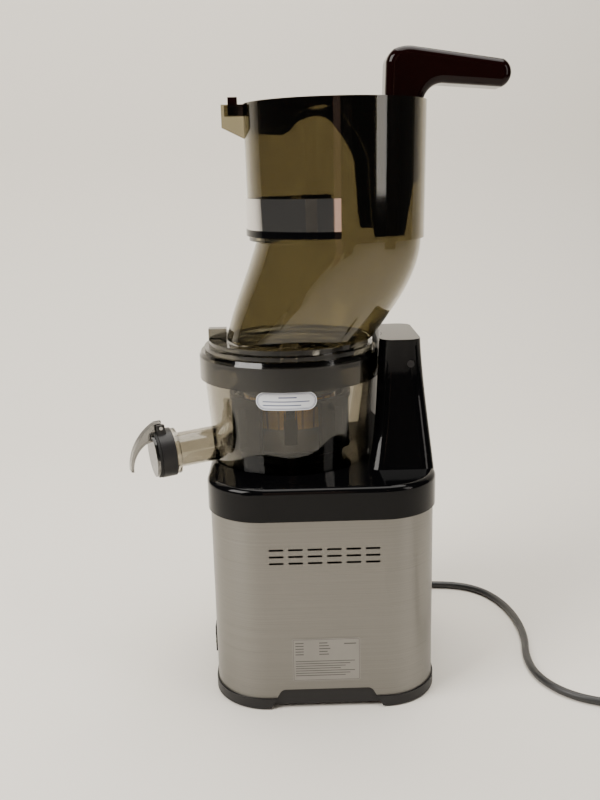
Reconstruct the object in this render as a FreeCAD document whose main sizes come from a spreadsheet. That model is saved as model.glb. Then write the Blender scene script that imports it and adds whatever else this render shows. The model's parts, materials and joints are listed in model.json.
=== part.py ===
import FreeCAD, Part
import math
import os
import re
import Sketcher

# Vertical auger juicer. Origin: centre of the base on the surface it stands on.
# +Z up, +X towards the tower, the juice spout points to -X. All sizes in millimetres.

SIZES = {
    # base
    "base_length": 190.0, "base_width": 206.0, "base_corner": 46.0,
    "tray_gap": 1.0, "tray_top": 10.0, "tray_overhang": 1.5, "tray_wall": 4.0,
    "tray_floor_low": 4.0, "tray_floor_high": 7.0, "upstand_top": 24.0, "upstand_wall": 2.5,
    "sleeve_top": 170.0, "sleeve_wall": 0.8, "sleeve_gap": 0.3,
    "grip_top": 18.0, "grip_half_low": 49.0, "grip_half_high": 38.0, "grip_depth": 2.6,
    "grip_corner": 6.0, "grip_corner_reach": 3.6,
    "foot_radius": 9.0, "foot_inset": 30.0,
    "vent_length": 12.2, "vent_height": 1.8, "vent_pitch": 15.9, "vent_rise": 5.9,
    "vent_middle": 139.0, "vent_columns": 6,
    "plate_length": 57.0, "plate_height": 39.0, "plate_low": 26.0, "plate_thick": 0.4,
    # cover and tower
    "cover_overhang": 2.0, "cover_top": 198.0, "cover_round": 5.0, "cover_wall": 3.0,
    "deck_low": 191.0, "seat_level": 195.0, "seat_gap": 1.2,
    "tower_top": 306.0, "tower_front": 52.5, "tower_back": 87.0, "tower_half": 43.0,
    "tower_waist": 236.0, "waist_front": 47.5, "waist_back": 93.5, "waist_half": 48.0,
    "foot_level": 207.0, "tower_foot_front": 43.0, "tower_foot_back": 96.0, "tower_foot_half": 58.0,
    "root_level": 192.0, "root_front": 39.0, "root_back": 96.8, "root_half": 66.0,
    "tower_corner": 11.0, "tower_gap": 3.0, "tower_wall": 3.0,
    "cap_x": 78.0, "cap_z": 285.0, "cap_radius": 3.0,
    # motor, on its own axis
    "motor_x": 35.0, "motor_y": 0.0, "stator_outer": 42.0, "stator_inner": 25.6,
    "stator_low": 45.0, "stator_high": 95.0, "winding_height": 7.0, "winding_inner": 28.0,
    "winding_outer": 38.0, "rotor_radius": 25.0, "motor_shaft_radius": 4.0,
    "motor_shaft_low": 13.0, "bracket_low": 28.0, "bracket_thick": 4.0, "bracket_wall": 2.0,
    "motor_bearing_outer": 11.0, "motor_bearing_height": 6.0, "motor_boss": 4.0,
    "motor_boss_radius": 30.0, "shaft_clearance": 0.05,
    "fan_low": 15.0, "fan_height": 8.0, "fan_radius": 34.0, "fan_blades": 9,
    # gearbox
    "box_low": 112.0, "box_floor": 4.0, "box_high": 150.0, "box_left": -68.0, "box_right": 52.0,
    "box_near": -43.0, "box_far": 77.0, "box_corner": 18.0, "box_wall": 4.0, "lid_thick": 5.0,
    "first_module": 1.25, "first_pinion_teeth": 10, "first_gear_teeth": 60,
    "second_module": 1.5, "second_pinion_teeth": 10, "second_gear_teeth": 48,
    "first_level": 118.0, "first_width": 8.0, "second_level": 130.0, "second_width": 16.0,
    "gear_gap": 1.0, "layshaft_radius": 4.0, "socket_depth": 3.0,
    "backlash": 0.6, "pillar_radius": 5.5, "pillar_inset": 9.0,
    "screw_radius": 2.0, "screw_head_radius": 3.8, "screw_head_height": 2.4, "screw_clearance": 0.1,
    # output shaft and what seals it
    "bowl_x": -25.0, "spigot_radius": 3.9, "output_radius": 8.0, "output_bearing_outer": 16.0,
    "output_bearing_height": 10.0, "seal_outer": 13.0, "seal_high": 194.0,
    "hex_flat": 11.0, "hex_top": 226.0, "hex_clearance": 0.1,
    # electrics
    "board_x": -55.0, "board_length": 50.0, "board_width": 84.0, "board_thick": 1.6,
    "board_low": 14.0, "board_inset": 5.0, "post_radius": 3.5, "capacitor_radius": 9.0,
    "capacitor_height": 26.0, "switch_y": -44.0, "switch_width": 15.0, "switch_low": 28.0,
    "switch_high": 52.0, "switch_proud": 2.0, "switch_depth": 20.0, "switch_rim": 2.0,
    "rocker_gap": 0.3, "rocker_proud": 2.4, "trunnion_radius": 1.5,
    # bowl
    "bowl_low": 195.3, "bowl_floor": 3.6, "bowl_foot_radius": 69.0, "bowl_top_radius": 75.0,
    "bowl_wall": 2.8, "bowl_shoulder": 271.0, "neck_step": 1.0,
    "neck_radius": "=bowl_top_radius - neck_step", "neck_top": 286.0,
    "boss_clearance": 0.4, "juice_turn": 20.0, "juice_drop": 4.0, "pulp_turn": -60.0, "pulp_drop": 4.0,
    "spout_clear": 1.5, "spout_outer": 15.2, "spout_wall": 2.2, "spout_start": 62.0, "spout_end": 112.0,
    "pulp_end": 118.0, "spout_flange_radius": 20.0, "spout_flange_start": 106.0,
    "spout_flange_end": 110.0, "ring_radius": 21.0, "ring_end": 122.5,
    "hinge_along": 119.0, "hinge_up": 24.5, "pin_radius": 1.5, "pin_length": 19.0,
    "knuckle_radius": 3.1, "knuckle_half": 4.4, "ear_width": 4.0, "ear_gap": 0.4,
    "door_gap": 0.3, "seal_thick": 2.0, "seal_radius": 20.6, "door_thick": 2.6,
    "door_radius": 19.4, "label_length": 50.0, "label_height": 15.5, "label_low": 255.3, "label_shift": 3.0,
    "label_thick": 0.4,
    # juicing set
    "set_module": 2.0, "auger_teeth": 16, "idler_teeth": 12, "ring_teeth": 40,
    "set_level": 200.0, "set_width": 5.6, "idler_turn": 60.0, "idler_pin_radius": 3.0,
    "ring_outer": 46.5, "arm_radius": 50.0, "arm_thick": 4.0, "arm_width": 34.0, "blade_gap": 4.2,
    "wiper_top": 257.0, "wiper_ring_height": 5.0, "blade_thick": 1.6,
    "blade_inner": 41.6,
    "blade_outer": "=min(bowl_foot_radius; bowl_top_radius) - bowl_wall - blade_gap",
    "strainer_low": 208.0, "strainer_high": 256.0, "strainer_low_radius": 38.0,
    "strainer_high_radius": 41.0, "strainer_wall": 1.6, "seat_step": 1.0,
    "collar_flange_radius": "=neck_radius - seat_step",
    "collar_flange": 2.0, "collar_radius": 47.0, "mesh_windows": 12, "window_width": 14.0,
    "core_low_radius": 23.0, "core_high_radius": 13.0, "flight_radius": 34.5,
    "flight_thick": 4.5, "flight_pitch": 34.0, "flight_start": 17.0, "auger_neck": 0.8,
    "core_top": 286.0, "pivot_radius": 4.0,
    # lid ring
    "lid_gap": 0.4, "lid_wall": 4.6, "lid_radius": "=neck_radius + lid_gap + lid_wall",
    "lid_high": 291.0, "lid_plate": 4.0, "step_one_width": 5.0, "step_two_width": 4.0,
    "step_one_radius": "=lid_radius - step_one_width", "step_one_top": 299.0,
    "step_two_radius": "=step_one_radius - step_two_width", "step_two_top": 304.0,
    "inlet_radius": 45.0, "hub_radius": 9.0, "bridge_width": 12.0,
    "tab_inset": 11.8, "tab_radius": "=step_two_radius - tab_inset", "tab_length": 15.7,
    "tab_width": 11.0, "tab_top": 313.0, "gasket_step": 0.5, "gasket_width": 6.5, "gasket_gap": 0.2,
    "gasket_outer": "=collar_flange_radius - gasket_step", "gasket_inner": "=gasket_outer - gasket_width",
    # hopper
    "hopper_wall": 3.0, "hopper_x": 18.5, "hopper_low_radius": 75.0, "hopper_high_radius": 76.5,
    "hopper_low": 389.0, "hopper_high": 500.0,
    "throat_x": -15.0, "throat_edge": 6.0, "throat_squash": 4.0,
    "throat_length": "=step_two_radius - throat_edge", "throat_width": "=throat_length - throat_squash",
    "elbow_one": 325.0, "elbow_one_x": -4.3, "elbow_one_length": 69.0, "elbow_one_width": 64.0,
    "elbow_two": 354.0, "elbow_two_x": 9.8, "elbow_two_length": 72.3, "elbow_two_width": 68.0,
    "mouth_x": 20.4, "mouth_length": 70.6, "mouth_width": 70.0,
    "band_rise": 9.5, "band_height": 25.5, "band_thick": 1.4, "band_sweep": 180.0,
    "lip_height": 5.5,
    "lip_thick": 2.2, "lug_reach": 76.0, "lug_width": 13.0, "lug_drop": 29.0, "lug_face_drop": 18.5,
    "key_width": 7.0, "key_gap": 0.5, "key_reach": 70.5, "key_drop": 9.0, "key_rise": 6.0,
    "key_tab": 8.0, "lug_wall": 2.5,
    # pusher
    "pusher_gap": 0.7, "pusher_plate": 3.5, "pusher_wall": 2.5, "skirt_drop": 23.0,
    "arch_left": -27.0, "arch_mid": -16.0, "arch_start": -5.0, "arch_end": 14.0,
    "arch_mid_drop": 15.5, "arch_start_drop": 8.5, "arch_end_drop": 8.0,
    "shoulder_x": 25.4, "shoulder_drop": 20.5, "side_x": 40.0, "side_drop": 49.0,
    "leg_inner": 42.4, "leg_knee_rise": 19.0, "leg_front": 45.0, "leg_gap": 1.0,
    "leg_back": 70.0, "leg_lean": 8.0, "leg_cut_rise": 45.0, "leg_cut_slope": 12.0,
    "neck_front": 59.0, "neck_back": 91.0, "handle_half": 18.0, "handle_rise": 42.0,
    "handle_peak_x": 70.0, "handle_nose_rise": 30.5, "handle_tip_x": 155.0,
    "handle_tip_radius": 12.0, "handle_round": 7.0, "handle_under_rise": 8.5, "crook_x": 106.0,
    "crook_rise": 12.5, "handle_lean": 1.0, "handle_heel_drop": 12.0,
    # cord
    "cord_radius": 3.5, "gland_x": 30.0, "gland_z": 36.0, "gland_radius": 8.0,
    "gland_flange": 11.0, "gland_length": 18.0, "coil_x": -25.0, "coil_y": 190.0,
    "coil_inner": 27.0, "coil_outer": 49.0, "coil_high": 14.0, "tie_width": 12.0,
    "tie_thick": 1.5, "plug_length": 34.0, "plug_width": 30.0, "plug_height": 18.0,
    "pin_reach": 18.0, "pin_thick": 1.6, "pin_depth": 6.3,
}

doc = FreeCAD.newDocument("juicer")
sheet = doc.addObject("Spreadsheet::Sheet", "sizes")
for row, (alias, number) in enumerate(SIZES.items(), start=1):
    sheet.set("A%d" % row, alias)
    sheet.set("B%d" % row, str(number))
    sheet.setAlias("B%d" % row, alias)
doc.recompute()

X_AXIS = FreeCAD.Vector(1, 0, 0)
Y_AXIS = FreeCAD.Vector(0, 1, 0)
Z_AXIS = FreeCAD.Vector(0, 0, 1)
PIECES = []


# ---------------------------------------------------------------- drawing helpers

def size(text):
    """The present value of an expression of sheet names."""
    return float(sheet.evalExpression(str(text)))


def bound(text):
    """The same expression as another object of the document writes it."""
    def full_name(word):
        return "sizes." + word.group(0) if word.group(0) in SIZES else word.group(0)
    return re.sub(r"[a-z]\w*", full_name, str(text))


def bind(item, prop, text):
    item.setExpression(prop, bound(text))


def place(item, at, rotation=None):
    """Put an object's own origin at three expressions."""
    if rotation is not None:
        item.Placement = FreeCAD.Placement(FreeCAD.Vector(), rotation)
    for axis, text in zip("xyz", at):
        bind(item, "Placement.Base." + axis, text)
    return item


def draw(sketch, outline):
    """Draw a closed outline of (x, y) corners, walked counterclockwise.

    A third entry makes the edge to the next corner an arc of that radius; with a fourth,
    "in", the arc bulges into the outline.
    """
    corners = [FreeCAD.Vector(size(corner[0]), size(corner[1]), 0) for corner in outline]
    first = sketch.GeometryCount
    ends = []
    for index, corner in enumerate(outline):
        start = corners[index]
        end = corners[(index + 1) % len(corners)]
        if len(corner) == 2:
            sketch.addGeometry(Part.LineSegment(start, end))
            ends.append((1, 2))
            continue
        chord = end - start
        radius = size(corner[2])
        depth = radius - math.sqrt(max(radius ** 2 - chord.Length ** 2 / 4, 0))
        inwards = len(corner) == 4
        side = FreeCAD.Vector(chord.y, -chord.x, 0).normalize() * (-depth if inwards else depth)
        middle = (start + end) / 2 + side
        if inwards:
            sketch.addGeometry(Part.Arc(end, middle, start))
            ends.append((2, 1))
        else:
            sketch.addGeometry(Part.Arc(start, middle, end))
            ends.append((1, 2))
        number = sketch.addConstraint(Sketcher.Constraint("Radius", first + index, radius))
        sketch.setExpression("Constraints[%d]" % number, bound(corner[2]))
    for index, corner in enumerate(outline):
        after = (index + 1) % len(outline)
        sketch.addConstraint(Sketcher.Constraint(
            "Coincident", first + index, ends[index][1], first + after, ends[after][0]))
        for kind, text in (("DistanceX", corner[0]), ("DistanceY", corner[1])):
            number = sketch.addConstraint(Sketcher.Constraint(
                kind, first + index, ends[index][0], size(text)))
            sketch.setExpression("Constraints[%d]" % number, bound(text))


def circle(sketch, radius):
    """Draw a circle about the sketch's origin."""
    number = sketch.addGeometry(Part.Circle(FreeCAD.Vector(), Z_AXIS, size(radius)))
    sketch.addConstraint(Sketcher.Constraint("Coincident", number, 3, -1, 1))
    number = sketch.addConstraint(Sketcher.Constraint("Radius", number, size(radius)))
    sketch.setExpression("Constraints[%d]" % number, bound(radius))


def flat_sketch(body, name, role):
    """A sketch on one of the body's own origin planes."""
    sketch = body.newObject("Sketcher::SketchObject", name)
    plane = [item for item in body.Origin.OriginFeatures if item.Role == role][0]
    sketch.AttachmentSupport = [(plane, "")]
    sketch.MapMode = "FlatFace"
    return sketch


def rounded(left, right, low, high, corner):
    """A rounded rectangle's outline, from expressions."""
    left, right, low, high = ["(%s)" % text for text in (left, right, low, high)]
    return [
        ("%s + %s" % (left, corner), low),
        ("%s - %s" % (right, corner), low, corner),
        (right, "%s + %s" % (low, corner)),
        (right, "%s - %s" % (high, corner), corner),
        ("%s - %s" % (right, corner), high),
        ("%s + %s" % (left, corner), high, corner),
        (left, "%s - %s" % (high, corner)),
        (left, "%s + %s" % (low, corner), corner),
    ]


def centred(half_x, half_y, corner):
    """A rounded rectangle about the origin."""
    return rounded("-(%s)" % half_x, half_x, "-(%s)" % half_y, half_y, "(%s)" % corner)


def upright(name, outlines, low, high):
    """Outlines seen from above, padded from one height to another."""
    body = doc.addObject("PartDesign::Body", name)
    sketch = flat_sketch(body, name + "_sketch", "XY_Plane")
    for outline in outlines:
        draw(sketch, outline)
    bind(sketch, "AttachmentOffset.Base.z", low)
    pad = body.newObject("PartDesign::Pad", name + "_pad")
    pad.Profile = sketch
    bind(pad, "Length", "(%s) - (%s)" % (high, low))
    return body


def sideways(name, outlines, thickness):
    """Outlines in the XZ plane, padded evenly to both sides of it."""
    body = doc.addObject("PartDesign::Body", name)
    sketch = flat_sketch(body, name + "_sketch", "XZ_Plane")
    for outline in outlines:
        draw(sketch, outline)
    pad = body.newObject("PartDesign::Pad", name + "_pad")
    pad.Profile = sketch
    pad.SideType = "Symmetric"
    bind(pad, "Length", thickness)
    return body


def turned(name, outline, at=("0", "0", "0"), sweep=None):
    """An outline of (radius, height) corners, turned about the Z axis through a place."""
    body = doc.addObject("PartDesign::Body", name)
    sketch = flat_sketch(body, name + "_sketch", "XZ_Plane")
    draw(sketch, outline)
    turn = body.newObject("PartDesign::Revolution", name + "_turn")
    turn.Profile = sketch
    turn.ReferenceAxis = (sketch, ["V_Axis"])
    turn.Angle = 360
    if sweep is not None:
        turn.Midplane = True
        bind(turn, "Angle", sweep)
    return place(body, at)


def ring(name, inner, outer, low, high, at=("0", "0", "0")):
    """A plain ring or, with inner at 0, a disc."""
    return turned(name, [(inner, low), (outer, low), (outer, high), (inner, high)], at)


def box(name, length, width, height, at):
    """A box standing on the middle of its underside."""
    item = doc.addObject("Part::Box", name)
    bind(item, "Length", length)
    bind(item, "Width", width)
    bind(item, "Height", height)
    return place(item, ("(%s) - (%s) / 2" % (at[0], length), "(%s) - (%s) / 2" % (at[1], width), at[2]))


def rod(name, radius, length, at, rotation=None):
    """A cylinder from a place, along Z unless it is turned."""
    item = doc.addObject("Part::Cylinder", name)
    bind(item, "Radius", radius)
    bind(item, "Height", length)
    return place(item, at, rotation)


def join(name, parts):
    item = doc.addObject("Part::MultiFuse", name)
    item.Shapes = parts
    item.Refine = True
    return item


def cut(name, base, tools):
    item = doc.addObject("Part::Cut", name)
    item.Base = base
    item.Tool = tools[0] if len(tools) == 1 else join(name + "_tools", tools)
    item.Refine = True
    return item


def overlap(name, first, second):
    item = doc.addObject("Part::MultiCommon", name)
    item.Shapes = [first, second]
    item.Refine = True
    return item


def loft(name, sections):
    item = doc.addObject("Part::Loft", name)
    item.Sections = sections
    item.Solid = True
    return item


def piece(item):
    """Mark an object as one of the finished pieces; its name is the node's name."""
    PIECES.append(item)
    return item


def screws(name, places, low, length, head_low):
    """Identical upright screws at (x, y) places, as one node."""
    parts = []
    for number, (x, y) in enumerate(places):
        parts.append(rod("%s_shank%d" % (name, number), "screw_radius", length, (x, y, low)))
        parts.append(rod("%s_head%d" % (name, number), "screw_head_radius", "screw_head_height",
                         (x, y, head_low)))
    return join(name, parts)


def gear(name, teeth, module, low, width, bore, at, turn):
    """A spur gear with straight-sided teeth; turn points one tooth that way, in degrees."""
    root = "(%s * (%s) / 2 - 1.25 * %s)" % (module, teeth, module)
    half = "(%s * pi / 4 - backlash / 2)" % module
    return toothed(name, root, "%s * ((%s) / 2 + 0.9)" % (module, teeth), [root, bore],
                   "%s + 1.25 * %s * tan(20)" % (half, module),
                   "%s - 0.9 * %s * tan(20)" % (half, module), teeth, low, width, at, turn)


def ring_gear(name, teeth, module, low, width, outer, at, turn):
    """A ring with inward teeth."""
    root = "(%s * (%s) / 2 + 1.3 * %s)" % (module, teeth, module)
    half = "(%s * pi / 4 - backlash / 2)" % module
    return toothed(name, root, "%s * ((%s) / 2 - 0.8)" % (module, teeth), [outer, root],
                   "%s + 1.3 * %s * tan(20)" % (half, module),
                   "%s - 0.8 * %s * tan(20)" % (half, module), teeth, low, width, at, turn)


def toothed(name, root, tip, circles, half_root, half_tip, teeth, low, width, at, turn):
    """A disc or ring between two circles, with a pattern of teeth from root to tip."""
    body = doc.addObject("PartDesign::Body", name)
    disc = flat_sketch(body, name + "_disc", "XY_Plane")
    for radius in circles:
        circle(disc, radius)
    bind(disc, "AttachmentOffset.Base.z", low)
    pad = body.newObject("PartDesign::Pad", name + "_pad")
    pad.Profile = disc
    bind(pad, "Length", width)
    tooth = flat_sketch(body, name + "_tooth", "XY_Plane")
    bind(tooth, "AttachmentOffset.Base.z", low)
    sunk = "%s %s 0.4" % (root, "-" if size(tip) > size(root) else "+")
    corners = [(sunk, "-(%s)" % half_root), (tip, "-(%s)" % half_tip), (tip, half_tip), (sunk, half_root)]
    draw(tooth, corners if size(tip) > size(root) else corners[::-1])
    tooth_pad = body.newObject("PartDesign::Pad", name + "_tooth_pad")
    tooth_pad.Profile = tooth
    bind(tooth_pad, "Length", width)
    pattern = body.newObject("PartDesign::PolarPattern", name + "_teeth")
    pattern.Originals = [tooth_pad]
    pattern.Axis = (tooth, ["N_Axis"])
    pattern.Angle = 360
    bind(pattern, "Occurrences", teeth)
    body.Tip = pattern
    place(body, at, FreeCAD.Rotation(Z_AXIS, 1))
    bind(body, "Placement.Rotation.Angle", turn)
    return body


# ---------------------------------------------------------------- places worked out from sizes

AXIS = ("bowl_x", "0", "0")
MOTOR = ("motor_x", "motor_y", "0")
FIRST_SPAN = "(first_module * (first_pinion_teeth + first_gear_teeth) / 2)"
SECOND_SPAN = "(second_module * (second_pinion_teeth + second_gear_teeth) / 2)"
# The layshaft stands where circles of the two centre distances meet, on the +Y side.
APART = "(motor_x - bowl_x)"
LAY_ALONG = "((%s^2 + %s^2 - %s^2) / (2 * %s))" % (APART, SECOND_SPAN, FIRST_SPAN, APART)
LAY_X = "(bowl_x + %s)" % LAY_ALONG
LAY_Y = "sqrt(%s^2 - %s^2)" % (SECOND_SPAN, LAY_ALONG)
LAY = (LAY_X, LAY_Y, "0")
TO_LAY = "(atan2(%s; %s) / 1 deg)" % (LAY_Y, LAY_ALONG)
MOTOR_TO_LAY = "(atan2(%s; %s - motor_x) / 1 deg)" % (LAY_Y, LAY_X)
IDLER_SPAN = "(set_module * (auger_teeth + idler_teeth) / 2)"
IDLER = ("bowl_x + %s * cos(idler_turn)" % IDLER_SPAN, "%s * sin(idler_turn)" % IDLER_SPAN, "0")
HALF_X = "base_length / 2"
HALF_Y = "base_width / 2"
FEET = [("%s * (base_length / 2 - foot_inset)" % sx, "%s * (base_width / 2 - foot_inset)" % sy)
        for sx in (-1, 1) for sy in (-1, 1)]
CHUTE_SLOPE = "((hopper_high_radius - hopper_low_radius) / (hopper_high - hopper_low))"


def chute_radius(level):
    """The chute's outer radius at a height."""
    return "(hopper_low_radius + %s * ((%s) - hopper_low))" % (CHUTE_SLOPE, level)


def bowl_radius(level):
    """The bowl's outer radius at a height."""
    return ("(bowl_foot_radius + (bowl_top_radius - bowl_foot_radius) * ((%s) - bowl_low)"
            " / (bowl_shoulder - bowl_low))" % level)


# ---------------------------------------------------------------- base

def grip_outline(grow):
    """The finger grip's trapezoid, seen from the side."""
    high = "grip_half_high + (%s)" % grow
    slant = "(grip_half_low - grip_half_high) / grip_top * grip_corner_reach"
    return [("-grip_half_low - (%s)" % grow, "-1"), ("grip_half_low + (%s)" % grow, "-1"),
            ("%s + %s" % (high, slant), "grip_top - grip_corner_reach", "grip_corner"),
            ("%s - grip_corner_reach" % high, "grip_top"),
            ("-(%s) + grip_corner_reach" % high, "grip_top", "grip_corner"),
            ("-(%s) - %s" % (high, slant), "grip_top - grip_corner_reach")]


def build_tray():
    outer = "+ tray_overhang"
    rim = upright("tray_rim", [centred(HALF_X + outer, HALF_Y + outer, "base_corner" + outer)],
                  "tray_gap", "tray_top")
    inset = " - sleeve_wall - sleeve_gap"
    upstand = upright("tray_upstand", [centred(HALF_X + inset, HALF_Y + inset, "base_corner" + inset)],
                      "tray_floor_high", "upstand_top")
    inner = inset + " - upstand_wall"
    well = upright("tray_well", [centred(HALF_X + inner, HALF_Y + inner, "base_corner" + inner)],
                   "tray_floor_high", "upstand_top + 1")
    under = " - tray_wall"
    hollow = upright("tray_hollow", [centred(HALF_X + under, HALF_Y + under, "base_corner" + under)],
                     "0", "tray_floor_low")
    grips = sideways("tray_grips", [grip_outline("0")], "base_width * 2")
    keep = box("tray_keep", "base_length", "base_width - 2 * grip_depth + 2 * tray_overhang",
               "upstand_top + 2", ("0", "0", "tray_floor_low"))
    shell = cut("tray_shell", join("tray_blank", [rim, upstand]), [well, hollow, cut("grip_cut", grips, [keep])])
    posts = [rod("board_post%d" % number, "post_radius", "board_low - tray_floor_high",
                 (x, y, "tray_floor_high")) for number, (x, y) in enumerate(board_places())]
    holes = [rod("foot_hole%d" % number, "screw_radius + screw_clearance", "10", (x, y, "0"))
             for number, (x, y) in enumerate(FEET)]
    return piece(cut("base_tray", join("tray_body", [shell] + posts), holes + board_holes("tray")))


def board_places():
    return [("board_x + %s * (board_length / 2 - board_inset)" % sx,
             "%s * (board_width / 2 - board_inset)" % sy) for sx in (-1, 1) for sy in (-1, 1)]


def board_holes(owner):
    return [rod("%s_board_hole%d" % (owner, number), "screw_radius + screw_clearance", "12", (x, y, "8"))
            for number, (x, y) in enumerate(board_places())]


def build_feet():
    feet = []
    for number, (x, y) in enumerate(FEET):
        foot = ring("foot_pad%d" % number, "screw_head_radius + 0.4", "foot_radius", "0",
                    "tray_floor_low", (x, y, "0"))
        feet.append(foot)
    piece(join("rubber_feet", feet))
    piece(screws("tray_screws", FEET, "tray_floor_low - screw_head_height",
                 "12", "tray_floor_low - screw_head_height"))


def build_sleeve():
    inner = " - sleeve_wall"
    tube = upright("sleeve_tube", [centred(HALF_X, HALF_Y, "base_corner"),
                                   centred(HALF_X + inner, HALF_Y + inner, "base_corner" + inner)],
                   "tray_top", "sleeve_top")
    first = "-vent_pitch * (vent_columns - 1) / 2"
    vents = sideways("vent_cutter", [
        rounded("%s - vent_length / 2" % first, "%s + vent_length / 2" % first,
                "vent_middle + %d * vent_rise - vent_height / 2" % rise,
                "vent_middle + %d * vent_rise + vent_height / 2" % rise, "(vent_height * 0.49)")
        for rise in (-1, 0, 1)], "base_width * 2")
    columns = vents.newObject("PartDesign::LinearPattern", "vent_columns_pattern")
    columns.Originals = [doc.getObject("vent_cutter_pad")]
    columns.Direction = (doc.getObject("vent_cutter_sketch"), ["H_Axis"])
    bind(columns, "Length", "vent_pitch * (vent_columns - 1)")
    bind(columns, "Occurrences", "vent_columns")
    vents.Tip = columns
    grips = sideways("sleeve_grips", [grip_outline("0")], "base_width * 2")
    window = box("switch_window", "20", "switch_width + 2 * rocker_gap - 2 * switch_rim + 3",
                 "switch_high - switch_low - 2 * switch_rim + 3",
                 ("-" + HALF_X, "switch_y", "switch_low + switch_rim - 1.5"))
    gland = rod("gland_window", "gland_radius + 0.2", "20", ("gland_x", HALF_Y + " + 10", "gland_z"),
                FreeCAD.Rotation(X_AXIS, 90))
    piece(cut("steel_sleeve", tube, [vents, grips, window, gland]))


def tower_section(name, front, back, half, level, inset):
    """One level of the tower, as a rounded rectangle."""
    sketch = doc.addObject("Sketcher::SketchObject", name)
    draw(sketch, rounded("%s + %s" % (front, inset), "%s - %s" % (back, inset),
                         "-%s + %s" % (half, inset), "%s - %s" % (half, inset),
                         "(tower_corner - %s)" % inset))
    return place(sketch, ("0", "0", level))


def tower_loft(name, inset, low, high):
    return loft(name, [
        tower_section(name + "_root", "root_front", "root_back", "root_half", low, inset),
        tower_section(name + "_foot", "tower_foot_front", "tower_foot_back", "tower_foot_half",
                      "foot_level", inset),
        tower_section(name + "_waist", "waist_front", "waist_back", "waist_half", "tower_waist", inset),
        tower_section(name + "_top", "tower_front", "tower_back", "tower_half", high, inset),
    ])


def pillar_places():
    return [("box_%s %s pillar_inset" % (x_name, x_sign), "box_%s %s pillar_inset" % (y_name, y_sign))
            for x_name, x_sign in (("left", "+"), ("right", "-"))
            for y_name, y_sign in (("near", "+"), ("far", "-"))]


def round_top(body, name, level):
    """Round the edges of a body's top face."""
    doc.recompute()
    tip = body.Tip
    names = []
    for number, edge in enumerate(tip.Shape.Edges, start=1):
        box_of_edge = edge.BoundBox
        if abs(box_of_edge.ZMin - level) < 1e-6 and abs(box_of_edge.ZMax - level) < 1e-6:
            names.append("Edge%d" % number)
    fillet = body.newObject("PartDesign::Fillet", name)
    fillet.Base = (tip, names)
    bind(fillet, "Radius", "cover_round")
    body.Tip = fillet


def build_cover():
    outer = " + cover_overhang"
    band = upright("cover_band", [centred(HALF_X + outer, HALF_Y + outer, "base_corner" + outer)],
                   "sleeve_top", "cover_top")
    round_top(band, "cover_band_round", size("cover_top"))
    inner = outer + " - cover_wall"
    under = upright("cover_under", [centred(HALF_X + inner, HALF_Y + inner, "base_corner" + inner)],
                    "sleeve_top - 1", "deck_low")
    clear = ring("tower_clear", "0", "lid_radius + tower_gap", "cover_top + 0.2", "tower_top + 20", AXIS)
    tower = cut("tower_shape", tower_loft("tower_outer", "0", "root_level", "tower_top"), [clear])
    hollow_low = "deck_low - 1"
    hollow_clear = ring("hollow_clear", "0", "lid_radius + tower_gap + tower_wall", hollow_low + " - 2",
                        "tower_top + 20", AXIS)
    hollow = cut("tower_hollow", tower_loft("tower_inner", "tower_wall", hollow_low,
                                            "(tower_top - tower_wall)"), [hollow_clear])
    seat = ring("seat_recess", "0", "bowl_foot_radius + seat_gap", "seat_level", "cover_top + 1", AXIS)
    bore = ring("deck_bore", "0", "seal_outer", "deck_low - 1", "cover_top", AXIS)
    pillars = [rod("pillar%d" % number, "pillar_radius", "deck_low + 1 - box_high - lid_thick",
                   (x, y, "box_high + lid_thick")) for number, (x, y) in enumerate(pillar_places())]
    holes = pillar_holes("cover")
    caps = rod("cap_pocket", "cap_radius + 0.05", "base_width", ("cap_x", "-%s" % HALF_Y, "cap_z"),
               FreeCAD.Rotation(X_AXIS, -90))
    shell = cut("cover_shell", join("cover_blank", [band, tower]), [under, hollow, seat, bore])
    piece(cut("top_cover", join("cover_body", [shell] + pillars), holes + [caps]))
    cap_span = "tower_half * 2 + 6"
    cap_rod = rod("cap_rod", "cap_radius", cap_span, ("cap_x", "-(%s) / 2" % cap_span, "cap_z"),
                  FreeCAD.Rotation(X_AXIS, -90))
    skin = tower_loft("cap_skin", "-0.3", "root_level", "(tower_top + 0.3)")
    core = tower_loft("cap_core", "tower_wall * 0.8", "root_level", "tower_top")
    piece(cut("tower_screw_caps", overlap("cap_pair", cap_rod, skin), [core]))


def pillar_holes(owner):
    return [rod("%s_hole%d" % (owner, number), "screw_radius + screw_clearance",
                "box_high + lid_thick + 14 - box_low + 1", (x, y, "box_low - 1"))
            for number, (x, y) in enumerate(pillar_places())]


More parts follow.
